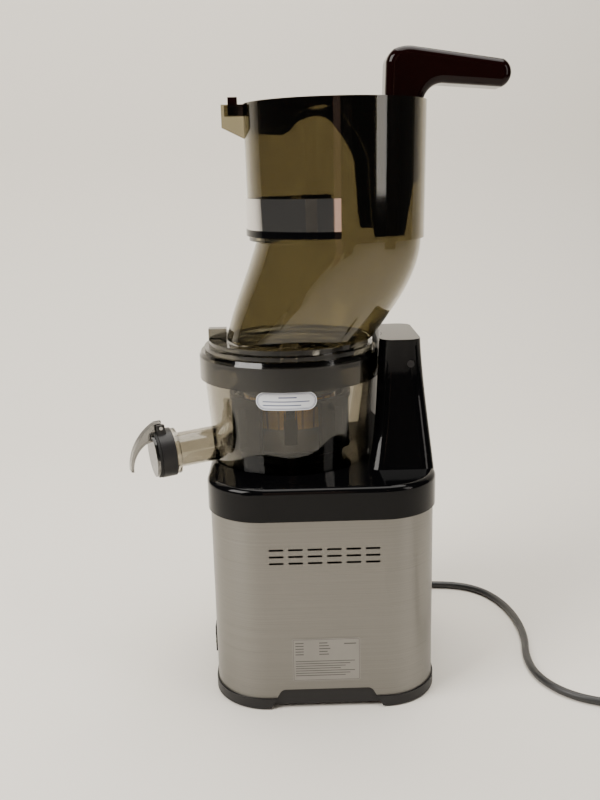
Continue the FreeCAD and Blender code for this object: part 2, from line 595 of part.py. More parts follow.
def build_base_trim():
    near = "-" + HALF_Y
    plate = sideways("rating_outline", [rounded("-plate_length / 2", "plate_length / 2", "plate_low",
                                                "plate_low + plate_height", "(1.5)")], "plate_thick")
    place(plate, ("0", near + " - plate_thick / 2", "0"))
    plate.Label = "rating_plate"
    piece(plate)
    face = "-" + HALF_X
    height = "(switch_high - switch_low)"
    middle_z = "(switch_low + %s / 2)" % height
    rim = box("bezel_rim", "switch_proud", "switch_width", height,
              (face + " - switch_proud / 2", "switch_y", "switch_low"))
    can = box("bezel_can", "switch_depth", "switch_width - 2 * switch_rim + 2.4",
              height + " - 2 * switch_rim + 2.4",
              (face + " + switch_depth / 2", "switch_y", "switch_low + switch_rim - 1.2"))
    well = box("bezel_well", "switch_depth + switch_proud", "switch_width - 2 * switch_rim",
               height + " - 2 * switch_rim",
               (face + " + (switch_depth - switch_proud) / 2 - 3", "switch_y", "switch_low + switch_rim"))
    trunnion_hole = rod("trunnion_hole", "trunnion_radius + shaft_clearance", "switch_width * 2",
                        (face, "switch_y - switch_width", middle_z), FreeCAD.Rotation(X_AXIS, -90))
    piece(cut("switch_bezel", join("bezel_blank", [rim, can]), [well, trunnion_hole]))
    reach = "(%s / 2 - switch_rim - rocker_gap)" % height
    outline = [(face + " - switch_proud + 0.6", "-" + reach),
               (face + " + 6", "-%s * 0.6" % reach), (face + " + 6", "%s * 0.6" % reach),
               (face + " - switch_proud + 0.6", reach),
               (face + " - rocker_proud", "%s * 0.5" % reach, "60", "in"),
               (face + " - rocker_proud", "-%s * 0.5" % reach)]
    paddle = sideways("rocker_paddle", [outline], "switch_width - 2 * switch_rim - 2 * rocker_gap")
    trunnion_span = "(switch_width - 2 * switch_rim + 1.6)"
    trunnion = rod("rocker_trunnion", "trunnion_radius", trunnion_span,
                   (face, "switch_y - %s / 2" % trunnion_span, middle_z), FreeCAD.Rotation(X_AXIS, -90))
    piece(join("rocker_button", [place(paddle, ("0", "switch_y", middle_z)), trunnion]))


# ---------------------------------------------------------------- motor

def build_motor():
    piece(ring("stator", "stator_inner", "stator_outer", "stator_low", "stator_high", MOTOR))
    for name, low in (("winding_low", "stator_low - winding_height"), ("winding_high", "stator_high")):
        high = "%s + winding_height" % low
        piece(turned(name, [("winding_inner", low), ("winding_outer", low), ("winding_outer", high),
                            ("winding_inner", high)], MOTOR))
    step = "(stator_high - stator_low) * 0.2"
    low_face = "bracket_low + bracket_thick"
    bore = "motor_bearing_outer"
    low_outline = [("motor_shaft_radius + 2", "bracket_low"),
                   ("stator_outer + bracket_wall", "bracket_low"),
                   ("stator_outer + bracket_wall", "stator_low + " + step),
                   ("stator_outer", "stator_low + " + step), ("stator_outer", low_face),
                   (bore + " + 3", low_face), (bore + " + 3", low_face + " + motor_bearing_height"),
                   (bore, low_face + " + motor_bearing_height"), (bore, low_face),
                   ("motor_shaft_radius + 2", low_face)]
    piece(turned("motor_bracket_low", low_outline, MOTOR))
    high_face = "box_low - motor_boss - bracket_thick"
    high_outline = [("motor_shaft_radius + 2", high_face), (bore, high_face),
                    (bore, high_face + " - motor_bearing_height"),
                    (bore + " + 3", high_face + " - motor_bearing_height"), (bore + " + 3", high_face),
                    ("stator_outer", high_face), ("stator_outer", "stator_high - " + step),
                    ("stator_outer + bracket_wall", "stator_high - " + step),
                    ("stator_outer + bracket_wall", "box_low - motor_boss"),
                    ("motor_boss_radius", "box_low - motor_boss"), ("motor_boss_radius", "box_low"),
                    ("motor_shaft_radius + 2", "box_low")]
    piece(turned("motor_bracket_high", high_outline, MOTOR))
    inner = "motor_shaft_radius + shaft_clearance"
    piece(ring("motor_bearing_low", inner, bore, low_face, low_face + " + motor_bearing_height", MOTOR))
    piece(ring("motor_bearing_high", inner, bore, high_face + " - motor_bearing_height", high_face, MOTOR))
    piece(ring("rotor_core", "motor_shaft_radius", "rotor_radius", "stator_low", "stator_high", MOTOR))
    shaft = rod("motor_spindle", "motor_shaft_radius",
                "first_level + first_width - motor_shaft_low", ("motor_x", "motor_y", "motor_shaft_low"))
    pinion = gear("motor_pinion", "first_pinion_teeth", "first_module", "first_level - 1", "first_width + 2",
                  "motor_shaft_radius * 0.5", MOTOR, MOTOR_TO_LAY)
    piece(join("motor_shaft", [shaft, pinion]))
    hub = ring("fan_hub", "motor_shaft_radius", "motor_shaft_radius + 5", "fan_low", "fan_low + fan_height",
               MOTOR)
    disc = ring("fan_disc", "motor_shaft_radius + 4", "fan_radius", "fan_low + fan_height - 1.5",
                "fan_low + fan_height", MOTOR)
    blades = doc.addObject("PartDesign::Body", "fan_blade_set")
    sketch = flat_sketch(blades, "fan_blade_sketch", "XY_Plane")
    draw(sketch, [("motor_shaft_radius + 4", "-0.8"), ("fan_radius - 1", "5.2"), ("fan_radius - 1", "6.8"),
                  ("motor_shaft_radius + 4", "0.8")])
    bind(sketch, "AttachmentOffset.Base.z", "fan_low")
    pad = blades.newObject("PartDesign::Pad", "fan_blade_pad")
    pad.Profile = sketch
    bind(pad, "Length", "fan_height - 1")
    wheel = blades.newObject("PartDesign::PolarPattern", "fan_blade_pattern")
    wheel.Originals = [pad]
    wheel.Axis = (sketch, ["N_Axis"])
    bind(wheel, "Occurrences", "fan_blades")
    blades.Tip = wheel
    piece(join("cooling_fan", [hub, disc, place(blades, MOTOR)]))


# ---------------------------------------------------------------- gearbox

def build_gearbox():
    outline = rounded("box_left", "box_right", "box_near", "box_far", "box_corner")
    blank = upright("box_blank", [outline], "box_low", "box_high")
    cavity = upright("box_cavity", [rounded("box_left + box_wall", "box_right - box_wall",
                                            "box_near + box_wall", "box_far - box_wall",
                                            "(box_corner - box_wall)")],
                     "box_low + box_floor", "box_high + 1")
    corners = [rod("box_pillar%d" % number, "pillar_radius", "box_high - box_low", (x, y, "box_low"))
               for number, (x, y) in enumerate(pillar_places())]
    shaft_hole = rod("box_shaft_hole", "motor_shaft_radius + 3", "box_floor + 2",
                     ("motor_x", "motor_y", "box_low - 1"))
    socket_low = "box_low + box_floor - socket_depth"
    lay_hole = rod("box_lay_hole", "layshaft_radius + shaft_clearance", "socket_depth + 1",
                   (LAY_X, LAY_Y, socket_low))
    spigot_hole = rod("box_spigot_hole", "spigot_radius + shaft_clearance", "socket_depth + 1",
                      ("bowl_x", "0", socket_low))
    housing = join("box_body", [cut("box_shell", blank, [cavity])] + corners)
    piece(cut("gearbox_housing", housing, [shaft_hole, lay_hole, spigot_hole] + pillar_holes("box")))

    top = "box_high + lid_thick"
    plate = upright("lid_plate_blank", [outline], "box_high", top)
    boss = ring("lid_boss", "output_radius + 1", "output_bearing_outer + 3", "box_high",
                top + " + output_bearing_height", AXIS)
    pocket = ring("lid_pocket", "0", "output_bearing_outer", top, top + " + output_bearing_height + 1", AXIS)
    through = ring("lid_through", "0", "output_radius + 1", "box_high - 1", top + " + 1", AXIS)
    lay_top = rod("lid_lay_hole", "layshaft_radius + shaft_clearance", "socket_depth + 1",
                  (LAY_X, LAY_Y, "box_high - 1"))
    piece(cut("gearbox_cover", join("lid_body", [plate, boss]),
              [pocket, through, lay_top] + pillar_holes("lid")))
    piece(ring("output_bearing", "output_radius + shaft_clearance", "output_bearing_outer", top,
               top + " + output_bearing_height", AXIS))
    piece(screws("gearbox_screws", pillar_places(), "box_low", top + " + 12 - box_low",
                 "box_low - screw_head_height"))

    lay_low = "box_low + box_floor - socket_depth + 0.2"
    lay_rod = rod("lay_rod", "layshaft_radius", "box_high + socket_depth - 0.4 - (%s)" % lay_low,
                  (LAY_X, LAY_Y, lay_low))
    lay_pinion = gear("lay_pinion", "second_pinion_teeth", "second_module", "second_level - gear_gap",
                      "second_width + 2 * gear_gap", "layshaft_radius * 0.5", LAY,
                      TO_LAY + " + 180 + 180 / second_pinion_teeth")
    piece(join("layshaft", [lay_rod, lay_pinion]))
    piece(gear("lay_gear", "first_gear_teeth", "first_module", "first_level", "first_width",
               "layshaft_radius", LAY, MOTOR_TO_LAY + " + 180 + 180 / first_gear_teeth"))
    piece(gear("output_gear", "second_gear_teeth", "second_module", "second_level", "second_width",
               "output_radius", AXIS, TO_LAY))
    spigot = rod("output_spigot", "spigot_radius", "second_level - (%s)" % lay_low, ("bowl_x", "0", lay_low))
    stem = rod("output_stem", "output_radius", "seal_high + 2 - second_level", ("bowl_x", "0", "second_level"))
    hexagon = upright("output_hex", [hex_outline("hex_flat / 2")], "seal_high", "hex_top")
    piece(join("output_shaft", [spigot, stem, place(hexagon, AXIS)]))
    piece(ring("shaft_seal", "output_radius + shaft_clearance", "seal_outer", "deck_low", "seal_high", AXIS))


def hex_outline(flat):
    """A hexagon with two corners on the X axis, from half its width across flats."""
    reach = "((%s) / cos(30))" % flat
    return [("%s * cos(%d)" % (reach, angle), "%s * sin(%d)" % (reach, angle))
            for angle in range(0, 360, 60)]


# ---------------------------------------------------------------- electrics

def build_electrics():
    board = box("board_blank", "board_length", "board_width", "board_thick", ("board_x", "0", "board_low"))
    piece(cut("control_board", board, board_holes("board")))
    top = "board_low + board_thick"
    piece(screws("board_screws", board_places(), "board_low - 4", "board_thick + 4", top))
    piece(rod("capacitor", "capacitor_radius", "capacitor_height", ("board_x", "board_width / 5", top)))
    piece(box("relay", "19", "15", "15", ("board_x", "-board_width / 5", top)))
    switch_x = "(tower_front + tower_back) / 2 + 2"
    piece(box("interlock_switch", "16", "28", "16", (switch_x, "0", "tower_top - tower_wall - 16")))


# ---------------------------------------------------------------- bowl

def spout_turn(turn, drop):
    """Local +Z runs out along the spout, local +X points up from it."""
    outwards = FreeCAD.Rotation(Z_AXIS, 180 + size(turn)) * FreeCAD.Rotation(Y_AXIS, 90 + size(drop))
    return outwards * FreeCAD.Rotation(Z_AXIS, 180)


# The juice spout clears the cover's edge and the pulp spout's end clears the cover's top.
JUICE_REACH = "(bowl_x + %s + cover_overhang) / cos(juice_turn)" % HALF_X
JUICE_LEVEL = "(cover_top + spout_clear + spout_outer / cos(juice_drop) + %s * tan(juice_drop))" % JUICE_REACH
PULP_LEVEL = "(cover_top + spout_clear + spout_outer / cos(pulp_drop) + pulp_end * tan(pulp_drop))"
JUICE = (("bowl_x", "0", JUICE_LEVEL), ("juice_turn", "juice_drop"))
PULP = (("bowl_x", "0", PULP_LEVEL), ("pulp_turn", "pulp_drop"))


def on_spout(item, spout):
    return place(item, spout[0], spout_turn(*spout[1]))


def build_bowl():
    inner_foot = "bowl_foot_radius - bowl_wall"
    floor = "bowl_low + bowl_floor"
    boss = "output_radius + boss_clearance"
    shell = turned("bowl_shell", [
        (boss, "bowl_low"), ("bowl_foot_radius", "bowl_low"), ("bowl_top_radius", "bowl_shoulder"),
        ("neck_radius", "bowl_shoulder"), ("neck_radius", "neck_top"),
        ("neck_radius - bowl_wall", "neck_top"), ("neck_radius - bowl_wall", "bowl_shoulder"),
        (inner_foot, floor), (boss, floor)], AXIS)
    hollow = turned("bowl_hollow", [
        ("0", floor), (inner_foot, floor), ("neck_radius - bowl_wall", "bowl_shoulder"),
        ("neck_radius - bowl_wall", "neck_top"), ("0", "neck_top")], AXIS)
    juice = on_spout(ring("juice_tube", "0", "spout_outer", "spout_start", "spout_end"), JUICE)
    flange = on_spout(ring("juice_flange", "0", "spout_flange_radius", "spout_flange_start",
                           "spout_flange_end"), JUICE)
    pulp = on_spout(ring("pulp_tube", "0", "spout_outer", "spout_start", "pulp_end"), PULP)
    outside = cut("bowl_tubes", join("bowl_tube_set", [juice, flange, pulp]), [hollow])
    bore = "spout_outer - spout_wall"
    juice_bore = on_spout(ring("juice_bore", "0", bore, "spout_start - 8", "spout_end + 1"), JUICE)
    pulp_bore = on_spout(ring("pulp_bore", "0", bore, "spout_start - 8", "pulp_end + 1"), PULP)
    floor_keep = ring("floor_keep", "0", "bowl_top_radius - bowl_wall", "bowl_low - 1", floor, AXIS)
    bores = cut("bowl_bores", join("bowl_bore_set", [juice_bore, pulp_bore]), [floor_keep])
    pin_hole = rod("idler_pin_hole", "idler_pin_radius", "bowl_floor + 1",
                   (IDLER[0], IDLER[1], "bowl_low + 1.2"))
    piece(cut("bowl", join("bowl_body", [shell, outside]), [bores, pin_hole]))
    piece(rod("idler_pin", "idler_pin_radius", "set_level + set_width - bowl_low - 1.2",
              (IDLER[0], IDLER[1], "bowl_low + 1.2")))

    label = sideways("label_outline", [rounded(
        "bowl_x - label_shift - label_length / 2", "bowl_x - label_shift + label_length / 2",
        "label_low", "label_low + label_height",
        "(label_height * 0.49)")], "base_width * 2")
    high = "label_low + label_height + 2"
    low = "label_low - 2"
    skin = turned("label_skin", [(bowl_radius(low), low), (bowl_radius(low) + " + label_thick", low),
                                 (bowl_radius(high) + " + label_thick", high), (bowl_radius(high), high)],
                  AXIS)
    near = box("label_near", "base_length", "base_width", "80", ("bowl_x", "-base_width / 2", "label_low - 30"))
    piece(overlap("bowl_label", overlap("label_band", label, skin), near))

    black = on_spout(ring("ring_body", "spout_outer + shaft_clearance", "ring_radius", "spout_flange_end",
                          "ring_end"), JUICE)
    stop = on_spout(ring("ring_stop", "spout_outer - spout_wall", "spout_outer + 1", "spout_end",
                         "ring_end"), JUICE)
    ears = []
    for side in ("-1", "1"):
        middle = "%s * (knuckle_half + ear_gap + ear_width / 2)" % side
        ear = sideways("ear_outline" + ("_near" if side == "1" else "_far"), [[
            ("ring_radius - 3", "hinge_along - 4"), ("hinge_up + 2.5", "hinge_along - 3.2"),
            ("hinge_up + 2.5", "hinge_along + 3.2"), ("ring_radius - 3", "hinge_along + 3.4")]], "ear_width")
        ear.Placement = FreeCAD.Placement()
        ears.append((ear, middle))
    turn = spout_turn("juice_turn", "juice_drop")
    for ear, middle in ears:
        shift = turn.multVec(FreeCAD.Vector(0, size(middle), 0))
        base = FreeCAD.Vector(size("bowl_x"), 0, size(JUICE_LEVEL)) + shift
        ear.Placement = FreeCAD.Placement(base, turn)
    pin_at = turn.multVec(FreeCAD.Vector(size("hinge_up"), -size("pin_length") / 2, size("hinge_along")))
    pin_base = FreeCAD.Vector(size("bowl_x"), 0, size(JUICE_LEVEL)) + pin_at
    along_pin = turn * FreeCAD.Rotation(X_AXIS, -90)
    holes = []
    for name, radius in (("ear_bore", "pin_radius"), ("hinge_pin", "pin_radius"),
                         ("knuckle_bore", "pin_radius + shaft_clearance")):
        item = doc.addObject("Part::Cylinder", name)
        bind(item, "Radius", radius)
        bind(item, "Height", "pin_length")
        item.Placement = FreeCAD.Placement(pin_base, along_pin)
        holes.append(item)
    piece(cut("cap_ring", join("ring_blank", [black, stop] + [ear for ear, middle in ears]), [holes[0]]))
    piece(holes[1])

    gap = "ring_end + door_gap"
    piece(on_spout(ring("cap_seal", "0", "seal_radius", gap, gap + " + seal_thick"), JUICE))
    face = gap + " + seal_thick"
    disc = on_spout(ring("door_disc", "0", "door_radius", face, face + " + door_thick"), JUICE)
    lever_half = "(knuckle_half * 2)"
    lever = on_spout(sideways("door_lever", [[
        ("hinge_up + knuckle_radius", "hinge_along"), ("hinge_up + 3", "hinge_along + 5", "45"),
        ("-10.5", "hinge_along + 29", "3"), ("-11", "hinge_along + 26.5", "26", "in"),
        ("door_radius - 8", face + " + door_thick + 5"), ("door_radius - 6", face),
        ("hinge_up - knuckle_radius", face), ("hinge_up - knuckle_radius", "hinge_along")]], lever_half),
        JUICE)
    turn_pin = spout_turn("juice_turn", "juice_drop")
    knuckle = doc.addObject("Part::Cylinder", "door_knuckle")
    bind(knuckle, "Radius", "knuckle_radius")
    bind(knuckle, "Height", lever_half)
    knuckle_at = turn_pin.multVec(FreeCAD.Vector(size("hinge_up"), -size(lever_half) / 2, size("hinge_along")))
    knuckle.Placement = FreeCAD.Placement(
        FreeCAD.Vector(size("bowl_x"), 0, size(JUICE_LEVEL)) + knuckle_at, along_pin)
    ring_clear = on_spout(ring("door_clear", "0", "ring_radius + 0.3", "spout_flange_end", face), JUICE)
    piece(cut("cap_door", join("door_blank", [disc, lever, knuckle]), [holes[2], ring_clear]))


# ---------------------------------------------------------------- juicing set

def build_juicing_set():
    gear_top = "set_level + set_width"
    toothed_foot = gear("auger_gear", "auger_teeth", "set_module", "set_level", "set_width", "7", AXIS,
                        "idler_turn")
    neck = "(set_module * (auger_teeth / 2 - 1.25))"
    core = turned("auger_core", [("0", gear_top), (neck, gear_top), (neck, gear_top + " + auger_neck"),
                                 ("core_low_radius", gear_top + " + auger_neck"),
                                 ("core_low_radius", "strainer_low + 8"),
                                 ("core_high_radius", "core_top - 18"), ("core_high_radius", "core_top - 6"),
                                 ("pivot_radius + 2", "core_top"), ("pivot_radius", "core_top"),
                                 ("pivot_radius", "lid_high + lid_plate - 1.5"),
                                 ("0", "lid_high + lid_plate - 1.5")], AXIS)
    foot = ring("auger_foot", "0", neck, "set_level", gear_top, AXIS)
    helix = doc.addObject("Part::Helix", "flight_path")
    bind(helix, "Pitch", "flight_pitch")
    bind(helix, "Height", "core_top - 14 - strainer_low - 5")
    bind(helix, "Radius", "core_high_radius")
    turn = FreeCAD.Rotation(Z_AXIS, size("flight_start"))
    place(helix, ("bowl_x", "0", "strainer_low + 5"), turn)
    section = doc.addObject("Sketcher::SketchObject", "flight_section")
    draw(section, [("core_high_radius - 3", "-flight_thick / 2"), ("flight_radius", "-flight_thick / 4"),
                   ("flight_radius", "flight_thick / 4"), ("core_high_radius - 3", "flight_thick / 2")])
    place(section, ("bowl_x", "0", "strainer_low + 5"), turn * FreeCAD.Rotation(X_AXIS, 90))
    flight = doc.addObject("Part::Sweep", "auger_flight")
    flight.Sections = [section]
    flight.Spine = (helix, ["Edge1"])
    flight.Solid = True
    flight.Frenet = True
    socket = place(upright("auger_socket", [hex_outline("hex_flat / 2 + hex_clearance")],
                           "set_level - 1", "hex_top + 0.5"), AXIS)
    stem = ring("auger_stem_bore", "0", "output_radius + 0.4", "set_level - 1", "set_level + 1.5", AXIS)
    piece(cut("auger", join("auger_blank", [core, foot, toothed_foot, flight]), [socket, stem]))

    piece(gear("idler_gear", "idler_teeth", "set_module", "set_level", "set_width",
               "idler_pin_radius + shaft_clearance", IDLER, "idler_turn + 180 / idler_teeth"))

    rim = ring_gear("wiper_gear", "ring_teeth", "set_module", "set_level", "set_width", "ring_outer",
                    AXIS, "idler_turn")
    flare = turned("wiper_flare", [
        ("strainer_low_radius + 3", gear_top), ("ring_outer", gear_top), ("arm_radius + arm_thick", gear_top + " + 4"),
        ("arm_radius + arm_thick", gear_top + " + 7"), ("arm_radius", gear_top + " + 7"),
        ("ring_outer - 2", gear_top + " + 3"), ("strainer_low_radius + 3", gear_top + " + 2")], AXIS)
    crown = ring("wiper_crown", "arm_radius", "arm_radius + arm_thick", "wiper_top - wiper_ring_height",
                 "wiper_top", AXIS)
    arms = []
    blades = []
    for number, angle in enumerate((45, 135, 225, 315)):
        rotation = FreeCAD.Rotation(Z_AXIS, angle)
        arm = doc.addObject("PartDesign::Body", "wiper_arm%d" % number)
        sketch = flat_sketch(arm, "wiper_arm%d_sketch" % number, "XY_Plane")
        draw(sketch, [("arm_radius", "-arm_width / 2"), ("arm_radius + arm_thick", "-arm_width / 2"),
                      ("arm_radius + arm_thick", "arm_width / 2"), ("arm_radius", "arm_width / 2")])
        bind(sketch, "AttachmentOffset.Base.z", gear_top + " + 5")
        pad = arm.newObject("PartDesign::Pad", "wiper_arm%d_pad" % number)
        pad.Profile = sketch
        bind(pad, "Length", "wiper_top - 1 - (%s + 5)" % gear_top)
        arms.append(place(arm, AXIS, rotation))
        for side, (near, far) in enumerate((("blade_inner", "arm_radius"),
                                            ("arm_radius + arm_thick", "blade_outer"))):
            blade = doc.addObject("Part::Box", "blade%d_%d" % (number, side))
            bind(blade, "Length", "%s - (%s)" % (far, near))
            bind(blade, "Width", "blade_thick")
            bind(blade, "Height", "wiper_top - wiper_ring_height - 2 - (%s + 9)" % gear_top)
            start = rotation.multVec(FreeCAD.Vector(size(near), -size("blade_thick") / 2, 0))
            blade.Placement = FreeCAD.Placement(
                FreeCAD.Vector(size("bowl_x"), 0, size(gear_top + " + 9")) + start, rotation)
            blades.append(blade)
    piece(join("wiper_frame", [rim, flare, crown] + arms))
    piece(join("wiper_blades", blades))

    low_in = "strainer_low_radius - strainer_wall"
    high_in = "strainer_high_radius - strainer_wall"
    basket = turned("strainer_basket", [
        ("core_low_radius + 2", "strainer_low"), ("strainer_low_radius", "strainer_low"),
        ("strainer_high_radius", "strainer_high"), (high_in, "strainer_high"),
        (low_in, "strainer_low + 2"), ("core_low_radius + 2", "strainer_low + 2")], AXIS)
    windows = doc.addObject("PartDesign::Body", "strainer_windows")
    sketch = flat_sketch(windows, "strainer_window_sketch", "XZ_Plane")
    draw(sketch, rounded("-window_width / 2", "window_width / 2", "strainer_low + 7", "strainer_high - 6",
                         "(2)"))
    bind(sketch, "AttachmentOffset.Base.z", "strainer_low_radius - strainer_wall - 0.9")
    pad = windows.newObject("PartDesign::Pad", "strainer_window_pad")
    pad.Profile = sketch
    bind(pad, "Length", "strainer_wall * 0.5 + 0.7")
    spread = windows.newObject("PartDesign::PolarPattern", "strainer_window_pattern")
    spread.Originals = [pad]
    spread.Axis = (sketch, ["V_Axis"])
    bind(spread, "Occurrences", "mesh_windows")
    windows.Tip = spread
    piece(cut("strainer", basket, [place(windows, AXIS)]))
    flange_top = "neck_top + collar_flange"
    piece(turned("strainer_collar", [
        (high_in, "strainer_high"), ("strainer_high_radius", "strainer_high"),
        ("collar_radius", "wiper_top + 4"), ("collar_radius", "neck_top"), ("collar_flange_radius", "neck_top"),
        ("collar_flange_radius", flange_top), ("collar_radius - 2", flange_top),
        ("collar_radius - 2", "wiper_top + 5")], AXIS))


# ---------------------------------------------------------------- lid and hopper

def build_lid():
    plate_top = "lid_high + lid_plate"
    ring_inner = "neck_radius + lid_gap"
    skirt = turned("lid_shell", [
        (ring_inner, "bowl_shoulder + 0.3"), ("lid_radius", "bowl_shoulder + 0.3"),
        ("lid_radius", "lid_high"), ("lid_radius - 2", plate_top), ("step_one_radius", plate_top),
        ("step_one_radius", "step_one_top"), ("step_two_radius", "step_one_top"),
        ("step_two_radius", "step_two_top"), ("throat_length - hopper_wall", "step_two_top"),
        ("inlet_radius", plate_top), ("inlet_radius", "lid_high"), (ring_inner, "lid_high")], AXIS)
    hub = ring("lid_hub", "0", "hub_radius", "lid_high", plate_top + " + 2", AXIS)
    bridge = box("lid_bridge", "bridge_width", "inlet_radius * 2 + 2", "lid_plate", ("bowl_x", "0", "lid_high"))
    tabs = [box("lid_tab%d" % number, "tab_length", "tab_width", "tab_top - step_one_top",
                ("bowl_x + %s * (tab_radius + tab_length / 4)" % side, "0", "step_one_top"))
            for number, side in enumerate(("-1", "1"))]
    pivot = ring("lid_pivot", "0", "pivot_radius + shaft_clearance", "lid_high - 1", plate_top + " - 1", AXIS)
    flow = funnel("tab_clear", "0", "step_two_top", "hopper_low")
    piece(cut("lid_ring", join("lid_blank", [skirt, hub, bridge] + tabs), [pivot, flow]))
    piece(ring("lid_gasket", "gasket_inner", "gasket_outer", "neck_top + collar_flange + gasket_gap",
               "lid_high", AXIS))


def funnel(name, inset, low, high):
    """The elbow between the lid and the chute, inset from its outer face."""
    levels = (("throat_x", "throat_length", "throat_width", low),
              ("elbow_one_x", "elbow_one_length", "elbow_one_width", "elbow_one"),
              ("elbow_two_x", "elbow_two_length", "elbow_two_width", "elbow_two"),
              ("mouth_x", "mouth_length", "mouth_width", high))
    sections = []
    for number, (x, length, width, level) in enumerate(levels):
        section = doc.addObject("Part::Ellipse", "%s_level%d" % (name, number))
        bind(section, "MajorRadius", "%s - %s" % (length, inset))
        bind(section, "MinorRadius", "%s - %s" % (width, inset))
        sections.append(place(section, (x, "0", level)))
    return loft(name, sections)


def build_hopper():
    middle = ("hopper_x", "0", "0")
    inner_low = "hopper_low + hopper_wall"
    chute = turned("chute_outer", [("0", "hopper_low"), ("hopper_low_radius", "hopper_low"),
                                   ("hopper_high_radius", "hopper_high"), ("0", "hopper_high")], middle)
    bore = turned("chute_inner", [
        ("0", inner_low), (chute_radius(inner_low) + " - hopper_wall", inner_low),
        (chute_radius("hopper_high + 1") + " - hopper_wall", "hopper_high + 1"), ("0", "hopper_high + 1")],
        middle)
    lug = sideways("lug_outline", [[
        ("-lug_reach", "hopper_high - lug_face_drop"),
        ("hopper_x - hopper_high_radius + 3", "hopper_high - lug_drop"),
        ("hopper_x - hopper_high_radius + 3", "hopper_high"), ("-lug_reach", "hopper_high")]], "lug_width")
    slot_far = "(hopper_x - hopper_high_radius + 4)"
    slot = box("key_slot", "lug_reach - lug_wall + " + slot_far, "key_width + 2 * key_gap", "key_drop * 2",
               ("(%s - lug_reach + lug_wall) / 2" % slot_far, "0", "hopper_high - key_drop - key_gap"))
    outer = join("hopper_outer", [funnel("funnel_outer", "0", "step_two_top", "hopper_low"), chute, lug])
    inner = join("hopper_inner", [funnel("funnel_inner", "hopper_wall", "(step_two_top - 0.5)",
                                         "(hopper_low + hopper_wall + 0.5)"), bore])
    piece(cut("hopper", outer, [inner, slot]))
    band_low = "hopper_low + band_rise"
    for name, low, high, thick in (("chrome_band", band_low, band_low + " + band_height", "band_thick"),
                                   ("band_lip", band_low + " - lip_height", band_low, "lip_thick")):
        band = turned(name, [
            (chute_radius(low), low), (chute_radius(low) + " + " + thick, low),
            (chute_radius(high) + " + " + thick, high), (chute_radius(high), high)], middle, "band_sweep")
        band.Placement.Rotation = FreeCAD.Rotation(Z_AXIS, 180)
        piece(band)


# ---------------------------------------------------------------- pusher

def build_pusher():
    middle = ("hopper_x", "0", "0")
    gap = " - hopper_wall - pusher_gap"
    leg_low = "(hopper_low + hopper_wall + leg_gap)"
    outer = turned("pusher_outer", [
        ("0", leg_low + " - 1"), (chute_radius(leg_low + " - 1") + gap, leg_low + " - 1"),
        (chute_radius("hopper_high") + gap, "hopper_high"), ("0", "hopper_high")], middle)
    core_gap = gap + " - pusher_wall"
    plate_low = "hopper_high - pusher_plate"
    core = turned("pusher_core", [
        ("0", leg_low + " - 2"), (chute_radius(leg_low + " - 2") + core_gap, leg_low + " - 2"),
        (chute_radius(plate_low) + core_gap, plate_low), ("0", plate_low)], middle)
    side = sideways("pusher_side", [[
        ("-90", "hopper_high - skirt_drop"), ("arch_left", "hopper_high - skirt_drop", "20"),
        ("arch_mid", "hopper_high - arch_mid_drop", "20", "in"),
        ("arch_start", "hopper_high - arch_start_drop", "25", "in"),
        ("arch_end", "hopper_high - arch_end_drop", "30", "in"),
        ("shoulder_x", "hopper_high - shoulder_drop", "60", "in"),
        ("side_x", "hopper_high - side_drop"), ("leg_inner", "hopper_low + leg_knee_rise"),
        ("leg_front", leg_low), ("leg_back", leg_low),
        ("leg_back + leg_lean", "hopper_low + leg_cut_rise"),
        ("130", "hopper_low + leg_cut_rise + leg_cut_slope"),
        ("130", "hopper_high"), ("-90", "hopper_high")]], "base_width")
    skirt_left = "(hopper_high_radius - hopper_wall - pusher_gap - hopper_x - pusher_wall)"
    key = box("pusher_key", "key_reach - %s" % skirt_left, "key_width", "key_drop",
              ("-(key_reach + %s) / 2" % skirt_left, "0", "hopper_high - key_drop"))
    tab = box("pusher_key_tab", "key_tab", "key_width", "key_drop + key_rise",
              ("-(key_reach - key_tab / 2)", "0", "hopper_high - key_drop"))
    skirt = overlap("pusher_skirt", cut("pusher_cup", outer, [core]), side)
    piece(join("pusher", [skirt, key, tab]))
    neck = sideways("handle_side", [[
        ("neck_front", "hopper_high"), ("neck_back", "hopper_high", "16", "in"),
        ("crook_x", "hopper_high + crook_rise"),
        ("handle_tip_x", "hopper_high + handle_under_rise", "handle_tip_radius"),
        ("handle_tip_x + 1", "hopper_high + handle_nose_rise"),
        ("handle_peak_x + 12", "hopper_high + handle_rise", "30"),
        ("handle_peak_x - 3", "hopper_high + handle_rise - 2", "16"),
        ("neck_front + handle_lean", "hopper_high + handle_rise - handle_heel_drop")]], "handle_half * 2")
    doc.recompute()
    names = []
    for number, edge in enumerate(neck.Shape.Edges, start=1):
        edge_box = edge.BoundBox
        flat = edge_box.YLength < 1e-6
        if flat and edge_box.ZMax > size("hopper_high") + 1:
            names.append("Edge%d" % number)
    fillet = neck.newObject("PartDesign::Fillet", "handle_fillet")
    fillet.Base = (doc.getObject("handle_side_pad"), names)
    bind(fillet, "Radius", "handle_round")
    neck.Tip = fillet
    neck.Label = "pusher_handle"
    piece(neck)


# ---------------------------------------------------------------- cord

# Each route is the line of the cord's middle, bent by an arc at every inner point.
LEAD_ROUTE = [(30, 121, 36), (30, 144, 34), (26, 167, 24), (17, 187, 13), (6, 207, 8)]
RUN_ROUTE = [(-12, 152, 3.5), (28, 149, 3.5), (72, 137, 3.5), (116, 124, 3.5), (150, 121, 3.5),
             (175, 106, 3.5), (190, 78, 3.5), (197, 42, 3.5), (196, 2, 3.5), (187, -36, 3.5),
             (189, -72, 3.5), (208, -101, 3.5), (240, -116, 3.5), (274, -122, 4.5), (304, -126, 9)]


